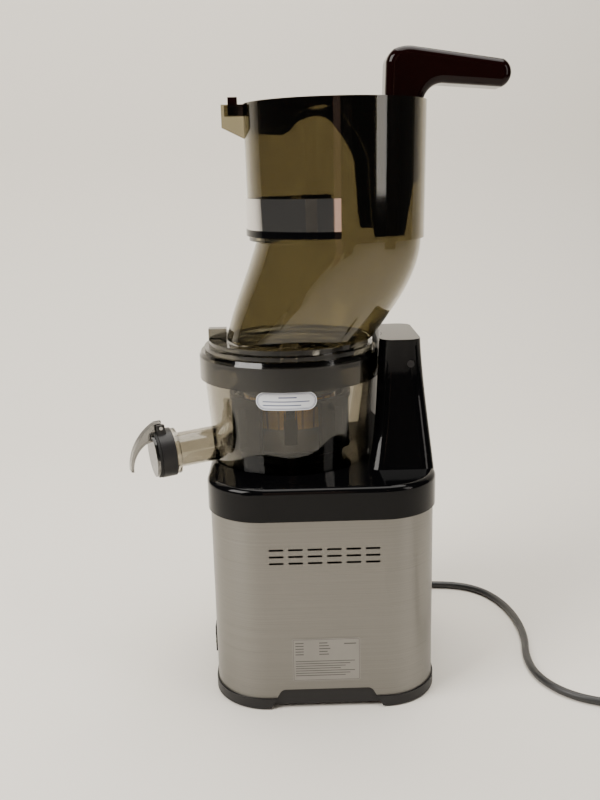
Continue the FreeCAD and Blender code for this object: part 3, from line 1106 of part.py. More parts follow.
def cord_path(points):
    """Straight runs joined by tangent arcs, each as large as its two runs allow."""
    points = [FreeCAD.Vector(*point) for point in points]
    edges = []
    radii = []
    start = points[0]
    for before, corner, after in zip(points, points[1:], points[2:]):
        back = before - corner
        ahead = after - corner
        shorter = min(back.Length, ahead.Length)
        half_turn = (math.pi - back.getAngle(ahead)) / 2
        trim = 0.45 * shorter
        radius = trim / math.tan(half_turn)
        radii.append(radius)
        back.normalize()
        ahead.normalize()
        first = corner + back * trim
        last = corner + ahead * trim
        towards_centre = (back + ahead).normalize()
        centre = corner + towards_centre * (radius / math.cos(half_turn))
        middle = centre - towards_centre * radius
        edges.append(Part.LineSegment(start, first).toShape())
        edges.append(Part.Arc(first, middle, last).toShape())
        start = last
    edges.append(Part.LineSegment(start, points[-1]).toShape())
    return Part.Wire(edges), radii


def cord_tube(name, points):
    path, radii = cord_path(points)
    radius = size("cord_radius")
    direction = FreeCAD.Vector(*points[1]) - FreeCAD.Vector(*points[0])
    section = Part.Wire(Part.Circle(FreeCAD.Vector(*points[0]), direction, radius).toShape())
    tube = doc.addObject("Part::Feature", name)
    tube.Shape = path.makePipeShell([section], True, False)
    expected = math.pi * radius ** 2 * path.Length
    print("%s: length %.0f, radii %s, volume %.3f of its section times its length" % (
        name, path.Length, [round(value) for value in radii], tube.Shape.Volume / expected))
    return piece(tube)


def build_cord():
    wall = HALF_Y
    out = FreeCAD.Rotation(X_AXIS, -90)
    head = rod("gland_head", "gland_flange", "3", ("gland_x", wall, "gland_z"), out)
    body = rod("gland_body", "gland_radius", "10", ("gland_x", wall + " - 10", "gland_z"), out)
    boot = doc.addObject("Part::Cone", "gland_boot")
    bind(boot, "Radius1", "gland_radius - 1")
    bind(boot, "Radius2", "cord_radius + 1.4")
    bind(boot, "Height", "gland_length")
    place(boot, ("gland_x", wall, "gland_z"), out)
    piece(join("cord_gland", [head, body, boot]))
    cord_tube("cord_lead", LEAD_ROUTE)
    piece(ring("cord_coil", "coil_inner", "coil_outer", "0", "coil_high", ("coil_x", "coil_y", "0")))
    tie = box("tie_outer", "coil_outer - coil_inner + 2 * tie_thick", "tie_width", "coil_high + tie_thick",
              ("coil_x - (coil_outer + coil_inner) / 2", "coil_y", "0"))
    tie_gap = box("tie_inner", "coil_outer - coil_inner", "tie_width * 2", "coil_high",
                  ("coil_x - (coil_outer + coil_inner) / 2", "coil_y", "0"))
    ties = cut("tie_loop", tie, [tie_gap])
    round_coil = ring("tie_round", "coil_inner", "coil_outer", "0", "coil_high", ("coil_x", "coil_y", "0"))
    piece(cut("coil_tie", ties, [round_coil]))
    cord_tube("cord_run", RUN_ROUTE)
    end = FreeCAD.Vector(*RUN_ROUTE[-1])
    direction = (end - FreeCAD.Vector(*RUN_ROUTE[-2])).normalize()
    turn = math.degrees(math.atan2(direction.y, direction.x))
    spin = FreeCAD.Rotation(Z_AXIS, turn)
    shell = doc.addObject("Part::Box", "plug_shell")
    bind(shell, "Length", "plug_length")
    bind(shell, "Width", "plug_width")
    bind(shell, "Height", "plug_height")
    corner = FreeCAD.Vector(0, -size("plug_width") / 2, -end.z)
    shell.Placement = FreeCAD.Placement(end + spin.multVec(corner), spin)
    piece(shell)
    shell.Label = "plug_body"
    pins = []
    half = size("pin_depth") / 2
    thick = size("pin_thick")
    for number, (across, up, lean) in enumerate(((-6.9, 5.5, 30), (6.9, 5.5, -30), (0, -4.8, 90))):
        blade = doc.addObject("Part::Box", "plug_blade%d" % number)
        bind(blade, "Length", "pin_reach")
        bind(blade, "Width", "pin_thick")
        bind(blade, "Height", "pin_depth")
        tilt = FreeCAD.Rotation(X_AXIS, lean if lean != 90 else 0)
        middle = FreeCAD.Vector(size("plug_length"), across, size("plug_height") / 2 - end.z + up - 1)
        offset = tilt.multVec(FreeCAD.Vector(0, -thick / 2, -half))
        blade.Placement = FreeCAD.Placement(end + spin.multVec(middle + offset), spin * tilt)
        pins.append(blade)
    piece(join("plug_pins", pins))


# ---------------------------------------------------------------- build, check and write

build_tray()
build_feet()
build_sleeve()
build_cover()
build_base_trim()
build_motor()
build_gearbox()
build_electrics()
build_bowl()
build_juicing_set()
build_lid()
build_hopper()
build_pusher()
build_cord()
doc.recompute()

for item in doc.Objects:
    if "Invalid" in item.State or "Error" in item.State:
        raise RuntimeError("%s failed: %s" % (item.Label, item.State))
for item in PIECES:
    if item.Shape.isNull() or not item.Shape.isValid() or item.Shape.Volume <= 0:
        raise RuntimeError("%s has no valid solid" % item.Label)
for item in PIECES:
    item.Shape.exportStep("parts/%s.step" % item.Label)
print("%d pieces written" % len(PIECES))
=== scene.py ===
import json
import math

import bpy
from mathutils import Matrix, Vector


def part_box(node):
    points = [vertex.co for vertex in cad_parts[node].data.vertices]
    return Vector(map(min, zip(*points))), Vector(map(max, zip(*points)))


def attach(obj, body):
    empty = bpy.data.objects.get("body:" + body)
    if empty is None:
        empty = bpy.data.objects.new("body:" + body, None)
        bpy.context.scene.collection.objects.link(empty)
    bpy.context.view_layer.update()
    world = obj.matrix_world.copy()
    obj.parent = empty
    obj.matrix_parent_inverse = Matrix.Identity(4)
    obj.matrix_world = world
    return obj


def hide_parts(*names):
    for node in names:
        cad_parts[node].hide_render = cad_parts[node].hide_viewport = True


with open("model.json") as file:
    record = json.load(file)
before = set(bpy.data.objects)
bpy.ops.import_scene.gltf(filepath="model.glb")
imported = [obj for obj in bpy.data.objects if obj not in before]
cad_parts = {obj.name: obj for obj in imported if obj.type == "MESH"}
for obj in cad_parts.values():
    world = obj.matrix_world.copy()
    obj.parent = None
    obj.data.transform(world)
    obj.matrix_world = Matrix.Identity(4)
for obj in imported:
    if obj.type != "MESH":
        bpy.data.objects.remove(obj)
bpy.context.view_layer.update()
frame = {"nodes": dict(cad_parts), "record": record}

BOWL_X = -0.025
STRAINER_RIBS = 24.0
STRAINER_FOOT_LOW = 0.2290
STRAINER_FOOT_HIGH = 0.2305


# ---------------------------------------------------------------- camera, floor and light

def make_camera():
    data = bpy.data.cameras.new("camera")
    data.sensor_width = 36.0
    data.lens = 41.27
    camera = bpy.data.objects.new("camera", data)
    bpy.context.scene.collection.objects.link(camera)
    heading = Matrix.Rotation(math.radians(-0.625), 4, "Z")
    tilt = Matrix.Rotation(math.radians(90.0 - 13.88), 4, "X")
    roll = Matrix.Rotation(math.radians(-1.3525), 4, "Z")
    camera.matrix_world = Matrix.Translation((-0.0248, -0.8006, 0.4435)) @ heading @ tilt @ roll
    bpy.context.scene.camera = camera


def make_stage():
    """A pale floor that curves up into a wall behind the juicer; the wall's back is clear."""
    mesh = bpy.data.meshes.new("studio_floor")
    profile = [(-2.5, 0.0), (0.7, 0.0)]
    profile += [(0.7 + 0.5 * math.sin(a), 0.5 - 0.5 * math.cos(a))
                for a in [math.radians(d) for d in range(10, 91, 10)]]
    profile += [(1.2, 3.0)]
    points = []
    faces = []
    for y, z in profile:
        points += [(-3.0, y, z - 0.0002), (3.0, y, z - 0.0002)]
    for step in range(len(profile) - 1):
        first = 2 * step
        faces.append((first, first + 1, first + 3, first + 2))
    mesh.from_pydata(points, [], faces)
    for face in mesh.polygons:
        face.use_smooth = True
    floor = bpy.data.objects.new("studio_floor", mesh)
    bpy.context.scene.collection.objects.link(floor)
    paint, shader = new_material("studio_paint")
    shader.inputs["Base Color"].default_value = (0.80, 0.765, 0.70, 1)
    shader.inputs["Roughness"].default_value = 0.9
    tree = paint.node_tree
    side = tree.nodes.new("ShaderNodeNewGeometry")
    clear = tree.nodes.new("ShaderNodeBsdfTransparent")
    mix = tree.nodes.new("ShaderNodeMixShader")
    tree.links.new(side.outputs["Backfacing"], mix.inputs["Fac"])
    tree.links.new(shader.outputs[0], mix.inputs[1])
    tree.links.new(clear.outputs[0], mix.inputs[2])
    tree.links.new(mix.outputs[0], tree.nodes["Material Output"].inputs["Surface"])
    mesh.materials.append(paint)


def area_light(name, place, target, width, height, power, colour):
    data = bpy.data.lights.new(name, "AREA")
    data.shape = "RECTANGLE"
    data.size = width
    data.size_y = height
    data.energy = power
    data.color = colour
    light = bpy.data.objects.new(name, data)
    bpy.context.scene.collection.objects.link(light)
    towards = Vector(target) - Vector(place)
    light.location = place
    light.visible_camera = False
    light.rotation_mode = "QUATERNION"
    light.rotation_quaternion = towards.to_track_quat("-Z", "Y")


def make_card(name, middle, width, height, colour):
    """An upright card that faces the juicer and shows as a band in its steel and gloss."""
    mesh = bpy.data.meshes.new(name)
    out = Vector((middle[0], middle[1], 0)).normalized()
    side = Vector((-out.y, out.x, 0)) * (width / 2)
    rise = Vector((0, 0, height / 2))
    centre = Vector(middle)
    mesh.from_pydata([centre - side - rise, centre + side - rise, centre + side + rise, centre - side + rise],
                     [], [(0, 1, 2, 3)])
    card = bpy.data.objects.new(name, mesh)
    bpy.context.scene.collection.objects.link(card)
    paper, shader = new_material(name)
    shader.inputs["Base Color"].default_value = (*colour, 1)
    shader.inputs["Roughness"].default_value = 0.9
    mesh.materials.append(paper)
    card.visible_camera = False
    card.visible_transmission = False


def make_cards():
    make_card("dark_card_left", (-0.95, -1.5, 0.8), 0.45, 1.6, (0.03, 0.028, 0.026))
    make_card("dark_card_middle", (0.42, -1.9, 0.8), 0.35, 1.6, (0.05, 0.045, 0.04))
    make_card("warm_card", (0.0, -2.0, 0.8), 0.3, 1.6, (0.45, 0.30, 0.24))
    make_card("dark_card_right", (1.5, -0.5, 0.7), 0.5, 1.4, (0.03, 0.028, 0.026))


def make_lights():
    area_light("window", (-1.5, -0.9, 1.5), (0, 0, 0.3), 1.2, 1.2, 62, (1.0, 0.97, 0.92))
    area_light("ceiling", (0.2, 0.2, 2.3), (0, 0.1, 0.2), 2.2, 1.6, 68, (1.0, 0.97, 0.92))
    area_light("fill", (1.6, -1.1, 0.9), (0, 0, 0.3), 0.5, 1.2, 9, (1.0, 0.95, 0.9))
    world = bpy.data.worlds.new("room")
    world.use_nodes = True
    world.node_tree.nodes["Background"].inputs["Color"].default_value = (0.62, 0.6, 0.56, 1)
    tree = world.node_tree
    ray = tree.nodes.new("ShaderNodeLightPath")
    strength = tree.nodes.new("ShaderNodeMapRange")
    strength.inputs["To Min"].default_value = 0.10
    strength.inputs["To Max"].default_value = 1.0
    tree.links.new(ray.outputs["Is Camera Ray"], strength.inputs["Value"])
    tree.links.new(strength.outputs["Result"], tree.nodes["Background"].inputs["Strength"])
    bpy.context.scene.world = world


# ---------------------------------------------------------------- shared shader groups

def new_material(name):
    material = bpy.data.materials.new(name)
    material.use_nodes = True
    return material, material.node_tree.nodes["Principled BSDF"]


def new_group(name, inputs, outputs):
    """A shader node group with float inputs (name: default) and the named outputs."""
    tree = bpy.data.node_groups.new(name, "ShaderNodeTree")
    for label, value in inputs.items():
        kind = "NodeSocketVector" if label == "Vector" else "NodeSocketFloat"
        socket = tree.interface.new_socket(label, in_out="INPUT", socket_type=kind)
        if label != "Vector":
            socket.default_value = value
    for label in outputs:
        tree.interface.new_socket(label, in_out="OUTPUT", socket_type="NodeSocketFloat")
    return tree, tree.nodes.new("NodeGroupInput"), tree.nodes.new("NodeGroupOutput")


def noise(tree, vector, scale, detail=3.0):
    node = tree.nodes.new("ShaderNodeTexNoise")
    node.inputs["Detail"].default_value = detail
    if isinstance(scale, (int, float)):
        node.inputs["Scale"].default_value = scale
    else:
        tree.links.new(scale, node.inputs["Scale"])
    tree.links.new(vector, node.inputs["Vector"])
    return node.outputs["Fac"]


def remap(tree, value, low, high, new_low, new_high):
    """Map a value to a new range; each new limit is a number or a socket."""
    node = tree.nodes.new("ShaderNodeMapRange")
    tree.links.new(value, node.inputs["Value"])
    node.inputs["From Min"].default_value = low
    node.inputs["From Max"].default_value = high
    for label, limit in (("To Min", new_low), ("To Max", new_high)):
        if isinstance(limit, (int, float)):
            node.inputs[label].default_value = limit
        else:
            tree.links.new(limit, node.inputs[label])
    return node.outputs["Result"]


def math_node(tree, operation, first, second):
    node = tree.nodes.new("ShaderNodeMath")
    node.operation = operation
    for index, value in enumerate((first, second)):
        if isinstance(value, (int, float)):
            node.inputs[index].default_value = value
        else:
            tree.links.new(value, node.inputs[index])
    return node.outputs[0]


def moulded_grain():
    """Fine texture of moulded plastic or rubber: a bump height, a roughness and a colour factor."""
    tree, given, result = new_group(
        "moulded_grain", {"Vector": 0, "Scale": 900.0, "Roughness": 0.5, "Spread": 0.1},
        ["Height", "Roughness", "Shade"])
    fine = noise(tree, given.outputs["Vector"], given.outputs["Scale"], 4.0)
    broad = noise(tree, given.outputs["Vector"], 24.0, 3.0)
    low = math_node(tree, "SUBTRACT", given.outputs["Roughness"], given.outputs["Spread"])
    high = math_node(tree, "ADD", given.outputs["Roughness"], given.outputs["Spread"])
    tree.links.new(fine, result.inputs["Height"])
    tree.links.new(remap(tree, broad, 0.3, 0.7, low, high), result.inputs["Roughness"])
    tree.links.new(remap(tree, broad, 0.25, 0.75, 0.85, 1.1), result.inputs["Shade"])
    return tree


def brushed_lines():
    """Long fine scratches along X: a bump height, a roughness and a colour factor."""
    tree, given, result = new_group(
        "brushed_lines", {"Vector": 0, "Length": 6.0, "Density": 1800.0, "Roughness": 0.3},
        ["Height", "Roughness", "Shade"])
    parts = tree.nodes.new("ShaderNodeSeparateXYZ")
    tree.links.new(given.outputs["Vector"], parts.inputs[0])
    along_x = math_node(tree, "MULTIPLY", parts.outputs["X"], given.outputs["Length"])
    along_y = math_node(tree, "MULTIPLY", parts.outputs["Y"], given.outputs["Length"])
    across = math_node(tree, "MULTIPLY", parts.outputs["Z"], given.outputs["Density"])
    joined = tree.nodes.new("ShaderNodeCombineXYZ")
    tree.links.new(along_x, joined.inputs[0])
    tree.links.new(along_y, joined.inputs[1])
    tree.links.new(across, joined.inputs[2])
    lines = noise(tree, joined.outputs[0], 1.0, 5.0)
    low = math_node(tree, "SUBTRACT", given.outputs["Roughness"], 0.07)
    high = math_node(tree, "ADD", given.outputs["Roughness"], 0.1)
    tree.links.new(lines, result.inputs["Height"])
    tree.links.new(remap(tree, lines, 0.3, 0.7, low, high), result.inputs["Roughness"])
    tree.links.new(remap(tree, lines, 0.3, 0.7, 0.86, 1.1), result.inputs["Shade"])
    return tree


def light_dust():
    """Sparse specks of dust and faint wipe marks, as masks."""
    tree, given, result = new_group("light_dust", {"Vector": 0, "Amount": 0.5}, ["Specks", "Smears"])
    cells = tree.nodes.new("ShaderNodeTexVoronoi")
    cells.inputs["Scale"].default_value = 160.0
    tree.links.new(given.outputs["Vector"], cells.inputs["Vector"])
    specks = remap(tree, cells.outputs["Distance"], 0.05, 0.12, 1.0, 0.0)
    patches = noise(tree, given.outputs["Vector"], 30.0)
    chosen = remap(tree, patches, 0.55, 0.7, 0.0, 1.0)
    both = math_node(tree, "MULTIPLY", specks, chosen)
    tree.links.new(math_node(tree, "MULTIPLY", both, given.outputs["Amount"]), result.inputs["Specks"])
    smears = noise(tree, given.outputs["Vector"], 12.0, 5.0)
    smear_mask = remap(tree, smears, 0.4, 0.75, 0.0, 1.0)
    tree.links.new(math_node(tree, "MULTIPLY", smear_mask, given.outputs["Amount"]), result.inputs["Smears"])
    return tree


GRAIN = moulded_grain()
BRUSH = brushed_lines()
DUST = light_dust()


def use_group(tree, group, values):
    """Place a group on object coordinates with the given input values."""
    node = tree.nodes.new("ShaderNodeGroup")
    node.node_tree = group
    for label, value in values.items():
        node.inputs[label].default_value = value
    place = tree.nodes.new("ShaderNodeTexCoord")
    tree.links.new(place.outputs["Object"], node.inputs["Vector"])
    return node


def tinted(tree, colour, factor):
    """A colour darkened or lightened by a factor that changes over the surface."""
    node = tree.nodes.new("ShaderNodeMix")
    node.data_type = "RGBA"
    node.blend_type = "MULTIPLY"
    node.inputs["Factor"].default_value = 1.0
    node.inputs[6].default_value = (*colour, 1)
    grey = tree.nodes.new("ShaderNodeCombineColor")
    for channel in range(3):
        tree.links.new(factor, grey.inputs[channel])
    tree.links.new(grey.outputs[0], node.inputs[7])
    return node.outputs[2]


def bump(tree, shader, height, strength, distance):
    node = tree.nodes.new("ShaderNodeBump")
    node.inputs["Strength"].default_value = strength
    node.inputs["Distance"].default_value = distance
    tree.links.new(height, node.inputs["Height"])
    tree.links.new(node.outputs["Normal"], shader.inputs["Normal"])


# ---------------------------------------------------------------- materials

def moulded(name, colour, roughness, grain=900.0, depth=0.00003, spread=0.08, gloss=0.5):
    """Opaque moulded plastic or rubber with a fine grain."""
    material, shader = new_material(name)
    tree = material.node_tree
    texture = use_group(tree, GRAIN, {"Scale": grain, "Roughness": roughness, "Spread": spread})
    tree.links.new(tinted(tree, colour, texture.outputs["Shade"]), shader.inputs["Base Color"])
    tree.links.new(texture.outputs["Roughness"], shader.inputs["Roughness"])
    shader.inputs["Specular IOR Level"].default_value = gloss
    bump(tree, shader, texture.outputs["Height"], 0.35, depth)
    return material


def metal(name, colour, roughness, brush=900.0, depth=0.00002):
    """Bare metal with a fine directional finish."""
    material, shader = new_material(name)
    tree = material.node_tree
    texture = use_group(tree, BRUSH, {"Length": 40.0, "Density": brush, "Roughness": roughness})
    tree.links.new(tinted(tree, colour, texture.outputs["Shade"]), shader.inputs["Base Color"])
    tree.links.new(texture.outputs["Roughness"], shader.inputs["Roughness"])
    shader.inputs["Metallic"].default_value = 1.0
    bump(tree, shader, texture.outputs["Height"], 0.3, depth)
    return material


def brushed_sleeve():
    """Brushed steel sheet with lines running round the base."""
    material, shader = new_material("brushed_sleeve")
    tree = material.node_tree
    texture = use_group(tree, BRUSH, {"Length": 7.0, "Density": 5200.0, "Roughness": 0.34})
    tree.links.new(tinted(tree, (0.215, 0.207, 0.190), texture.outputs["Shade"]), shader.inputs["Base Color"])
    tree.links.new(texture.outputs["Roughness"], shader.inputs["Roughness"])
    shader.inputs["Metallic"].default_value = 1.0
    shader.inputs["Anisotropic"].default_value = 0.6
    shader.inputs["Anisotropic Rotation"].default_value = 0.25
    bump(tree, shader, texture.outputs["Height"], 0.12, 0.00002)
    return material


def piano_black(name, colour=(0.0016, 0.0016, 0.002), roughness=0.05):
    """High-gloss black with faint wipe marks and dust."""
    material, shader = new_material(name)
    tree = material.node_tree
    dust = use_group(tree, DUST, {"Amount": 0.6})
    shader.inputs["Base Color"].default_value = (*colour, 1)
    tree.links.new(remap(tree, dust.outputs["Smears"], 0.0, 1.0, roughness, roughness + 0.07),
                   shader.inputs["Roughness"])
    bump(tree, shader, dust.outputs["Specks"], 0.4, 0.00002)
    shader.inputs["Specular IOR Level"].default_value = 0.16
    return material


def tinted_clear(name, colour, roughness=0.03, smear=0.06):
    """Clear tinted plastic; the colour is what one wall lets through."""
    material, shader = new_material(name)
    tree = material.node_tree
    dust = use_group(tree, DUST, {"Amount": 0.7})
    shader.inputs["Base Color"].default_value = (*colour, 1)
    shader.inputs["Transmission Weight"].default_value = 1.0
    shader.inputs["IOR"].default_value = 1.45
    shader.inputs["Specular IOR Level"].default_value = 0.3
    tree.links.new(remap(tree, dust.outputs["Smears"], 0.0, 1.0, roughness, roughness + smear),
                   shader.inputs["Roughness"])
    bump(tree, shader, dust.outputs["Specks"], 0.25, 0.00003)
    return material


def polished(name, colour, roughness=0.05):
    """Bright plated trim."""
    material, shader = new_material(name)
    tree = material.node_tree
    dust = use_group(tree, DUST, {"Amount": 0.5})
    shader.inputs["Base Color"].default_value = (*colour, 1)
    shader.inputs["Metallic"].default_value = 1.0
    tree.links.new(remap(tree, dust.outputs["Smears"], 0.0, 1.0, roughness, roughness + 0.08),
                   shader.inputs["Roughness"])
    return material


def box_mask(tree, along, up, left, right, low, high):
    """1 inside a rectangle of the printed face, 0 outside; metres."""
    inside = 1.0
    for value, limit, operation in ((along, left, "GREATER_THAN"), (along, right, "LESS_THAN"),
                                    (up, low, "GREATER_THAN"), (up, high, "LESS_THAN")):
        inside = math_node(tree, "MULTIPLY", math_node(tree, operation, value, limit), inside)
    return inside


def frame_mask(tree, along, up, half_long, half_high, corner, inset, width):
    """1 on a thin line that follows a rounded rectangle at a given inset."""
    flat_x = math_node(tree, "SUBTRACT", math_node(tree, "ABSOLUTE", along, 0.0), half_long - corner)
    flat_z = math_node(tree, "SUBTRACT", math_node(tree, "ABSOLUTE", up, 0.0), half_high - corner)
    out_x = math_node(tree, "MAXIMUM", flat_x, 0.0)
    out_z = math_node(tree, "MAXIMUM", flat_z, 0.0)
    squares = math_node(tree, "ADD", math_node(tree, "MULTIPLY", out_x, out_x),
                        math_node(tree, "MULTIPLY", out_z, out_z))
    inner = math_node(tree, "MINIMUM", math_node(tree, "MAXIMUM", flat_x, flat_z), 0.0)
    edge = math_node(tree, "ADD", math_node(tree, "SQRT", squares, 0.0), inner)
    offset = math_node(tree, "ADD", edge, inset - corner)
    return math_node(tree, "LESS_THAN", math_node(tree, "ABSOLUTE", offset, 0.0), width / 2)


def printed(name, paper, ink, centre, frames, lines, roughness):
    """Blank printed film: thin frames and plain lines, no lettering."""
    material, shader = new_material(name)
    tree = material.node_tree
    texture = use_group(tree, GRAIN, {"Scale": 2000.0, "Roughness": roughness, "Spread": 0.06})
    place = tree.nodes.new("ShaderNodeTexCoord")
    parts = tree.nodes.new("ShaderNodeSeparateXYZ")
    tree.links.new(place.outputs["Object"], parts.inputs[0])
    along = math_node(tree, "SUBTRACT", parts.outputs["X"], centre[0])
    up = math_node(tree, "SUBTRACT", parts.outputs["Z"], centre[1])
    mask = 0.0
    for values in frames:
        mask = math_node(tree, "MAXIMUM", frame_mask(tree, along, up, *values), mask)
    for values in lines:
        mask = math_node(tree, "MAXIMUM", box_mask(tree, along, up, *values), mask)
    mix = tree.nodes.new("ShaderNodeMix")
    mix.data_type = "RGBA"
    tree.links.new(mask, mix.inputs["Factor"])
    tree.links.new(tinted(tree, paper, texture.outputs["Shade"]), mix.inputs[6])
    mix.inputs[7].default_value = (*ink, 1)
    tree.links.new(mix.outputs[2], shader.inputs["Base Color"])
    tree.links.new(texture.outputs["Roughness"], shader.inputs["Roughness"])
    bump(tree, shader, texture.outputs["Height"], 0.2, 0.00002)
    return material


def strainer_amber():
    """Amber resin with darker upright ribs, paling to grey at the foot of the strainer."""
    material, shader = new_material("strainer_amber")
    tree = material.node_tree
    texture = use_group(tree, GRAIN, {"Scale": 700.0, "Roughness": 0.24, "Spread": 0.08})
    place = tree.nodes.new("ShaderNodeTexCoord")
    parts = tree.nodes.new("ShaderNodeSeparateXYZ")
    tree.links.new(place.outputs["Object"], parts.inputs[0])
    across = math_node(tree, "SUBTRACT", parts.outputs["X"], BOWL_X)
    turn = math_node(tree, "ARCTAN2", parts.outputs["Y"], across)
    wave = math_node(tree, "COSINE", math_node(tree, "MULTIPLY", turn, STRAINER_RIBS), 0.0)
    shade = math_node(tree, "MULTIPLY", remap(tree, wave, 0.72, 0.95, 1.0, 0.45), texture.outputs["Shade"])
    foot = remap(tree, parts.outputs["Z"], STRAINER_FOOT_LOW, STRAINER_FOOT_HIGH, 1.0, 0.0)
    mix = tree.nodes.new("ShaderNodeMix")
    mix.data_type = "RGBA"
    tree.links.new(foot, mix.inputs["Factor"])
    tree.links.new(tinted(tree, (0.95, 0.50, 0.04), shade), mix.inputs[6])
    tree.links.new(tinted(tree, (0.30, 0.275, 0.235), texture.outputs["Shade"]), mix.inputs[7])
    tree.links.new(mix.outputs[2], shader.inputs["Base Color"])
    tree.links.new(texture.outputs["Roughness"], shader.inputs["Roughness"])
    shader.inputs["Coat Weight"].default_value = 0.5
    bump(tree, shader, texture.outputs["Height"], 0.3, 0.00003)
    return material


def printed_label():
    """The pale stadium label on the bowl, with two rounded frames and three plain lines."""
    frames = [(0.025, 0.00775, 0.0077, 0.0011, 0.0005), (0.025, 0.00775, 0.0077, 0.0020, 0.0002)]
    lines = [(-0.0065, 0.0085, 0.0026, 0.0037), (-0.0195, 0.0190, -0.0008, 0.0001),
             (-0.0195, 0.0120, -0.0040, -0.0031)]
    return printed("printed_label", (0.70, 0.73, 0.79), (0.07, 0.09, 0.20), (-0.028, 0.26305),
                   frames, lines, 0.3)


def printed_plate():
    """The grey plate low on the front, with one frame and two blocks of plain lines."""
    frames = [(0.0285, 0.0195, 0.0015, 0.0008, 0.0003)]
    lines = []
    for row in range(5):
        level = 0.0150 - 0.0026 * row
        lines.append((-0.0260, -0.0190, level, level + 0.0009))
        lines.append((-0.0060, 0.0010 + 0.0012 * (row % 3), level, level + 0.0009))
    for row in range(7):
        level = -0.0016 - 0.0022 * row
        lines.append((-0.0260, 0.0240 - 0.004 * (row * 5 % 4), level, level + 0.0007))
    lines.append((0.0150, 0.0250, 0.0140, 0.0150))
    return printed("printed_plate", (0.215, 0.203, 0.182), (0.06, 0.058, 0.054), (0.0, 0.0455),
                   frames, lines, 0.4)


FINISH = {
    "black_plastic": moulded("tray_black", (0.014, 0.013, 0.0135), 0.45, gloss=0.3),
    "rubber_black": moulded("rubber_black", (0.02, 0.02, 0.02), 0.7, grain=1400.0),
    "screw_steel": metal("screw_steel", (0.5, 0.49, 0.47), 0.35),
    "sleeve_steel": brushed_sleeve(),
    "piano_black": piano_black("piano_black"),
    "plate_film": printed_plate(),
    "stator_iron": metal("stator_iron", (0.18, 0.17, 0.165), 0.5, brush=3000.0),
    "copper_wire": metal("copper_wire", (0.55, 0.22, 0.09), 0.4, brush=1400.0, depth=0.0002),
    "bracket_alloy": metal("bracket_alloy", (0.55, 0.55, 0.56), 0.5, brush=300.0),
    "bearing_steel": polished("bearing_steel", (0.6, 0.6, 0.6), 0.15),
    "gear_nylon": moulded("gear_nylon", (0.74, 0.71, 0.62), 0.4),
    "gear_steel": metal("gear_steel", (0.42, 0.42, 0.43), 0.3),
    "board_green": moulded("board_green", (0.02, 0.16, 0.06), 0.35),
    "part_blue": moulded("part_blue", (0.03, 0.08, 0.3), 0.3),
    "smoky_clear": tinted_clear("smoky_clear", (0.46, 0.435, 0.375)),
    "smoky_grey": tinted_clear("smoky_grey", (0.13, 0.122, 0.10), roughness=0.06),
    "olive_smoke": tinted_clear("olive_smoke", (0.275, 0.245, 0.160)),
    "clear_grey": tinted_clear("clear_grey", (0.20, 0.195, 0.185)),
    "label_white": printed_label(),
    "amber_resin": strainer_amber(),
    "wiper_black": moulded("wiper_black", (0.008, 0.008, 0.0085), 0.3, gloss=0.2),
    "auger_resin": moulded("auger_resin", (0.045, 0.042, 0.04), 0.35),
    "silicone_black": moulded("silicone_black", (0.012, 0.012, 0.012), 0.6, gloss=0.3),
    "chrome_trim": polished("chrome_trim", (0.78, 0.76, 0.74)),
    "pusher_red": piano_black("pusher_red", (0.0065, 0.0012, 0.0011), 0.04),
    "cord_black": moulded("cord_black", (0.018, 0.018, 0.019), 0.42, grain=1600.0),
}


def finish_nodes():
    """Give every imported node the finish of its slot."""
    for entry in frame["record"]["subparts"]:
        node = frame["nodes"][entry["node"]]
        node.data.materials.clear()
        node.data.materials.append(FINISH[entry["material_slot"]])


# ---------------------------------------------------------------- pieces that repeat

def new_tree(name, inputs):
    """A geometry tree with named inputs (name: (kind, default)) and its two end nodes."""
    tree = bpy.data.node_groups.new(name, "GeometryNodeTree")
    for label, (kind, value) in inputs.items():
        socket = tree.interface.new_socket(label, in_out="INPUT", socket_type="NodeSocket" + kind)
        if value is not None:
            socket.default_value = value
    tree.interface.new_socket("Geometry", in_out="OUTPUT", socket_type="NodeSocketGeometry")
    return tree, tree.nodes.new("NodeGroupInput").outputs, tree.nodes.new("NodeGroupOutput")


def between(tree, part, low, high):
    """The value a part of the way from one input to another."""
    span = math_node(tree, "SUBTRACT", high, low)
    return math_node(tree, "ADD", low, math_node(tree, "MULTIPLY", part, span))


def vector(tree, x, y, z):
    node = tree.nodes.new("ShaderNodeCombineXYZ")
    for index, value in enumerate((x, y, z)):
        if isinstance(value, (int, float)):
            node.inputs[index].default_value = value
        else:
            tree.links.new(value, node.inputs[index])
    return node.outputs[0]


def end_tree(tree, given, result, geometry):
    """Close a tree: instances made real, and its finish set."""
    real = tree.nodes.new("GeometryNodeRealizeInstances")
    paint = tree.nodes.new("GeometryNodeSetMaterial")
    tree.links.new(geometry, real.inputs[0])
    tree.links.new(real.outputs[0], paint.inputs["Geometry"])
    tree.links.new(given["Finish"], paint.inputs["Material"])
    tree.links.new(paint.outputs[0], result.inputs[0])


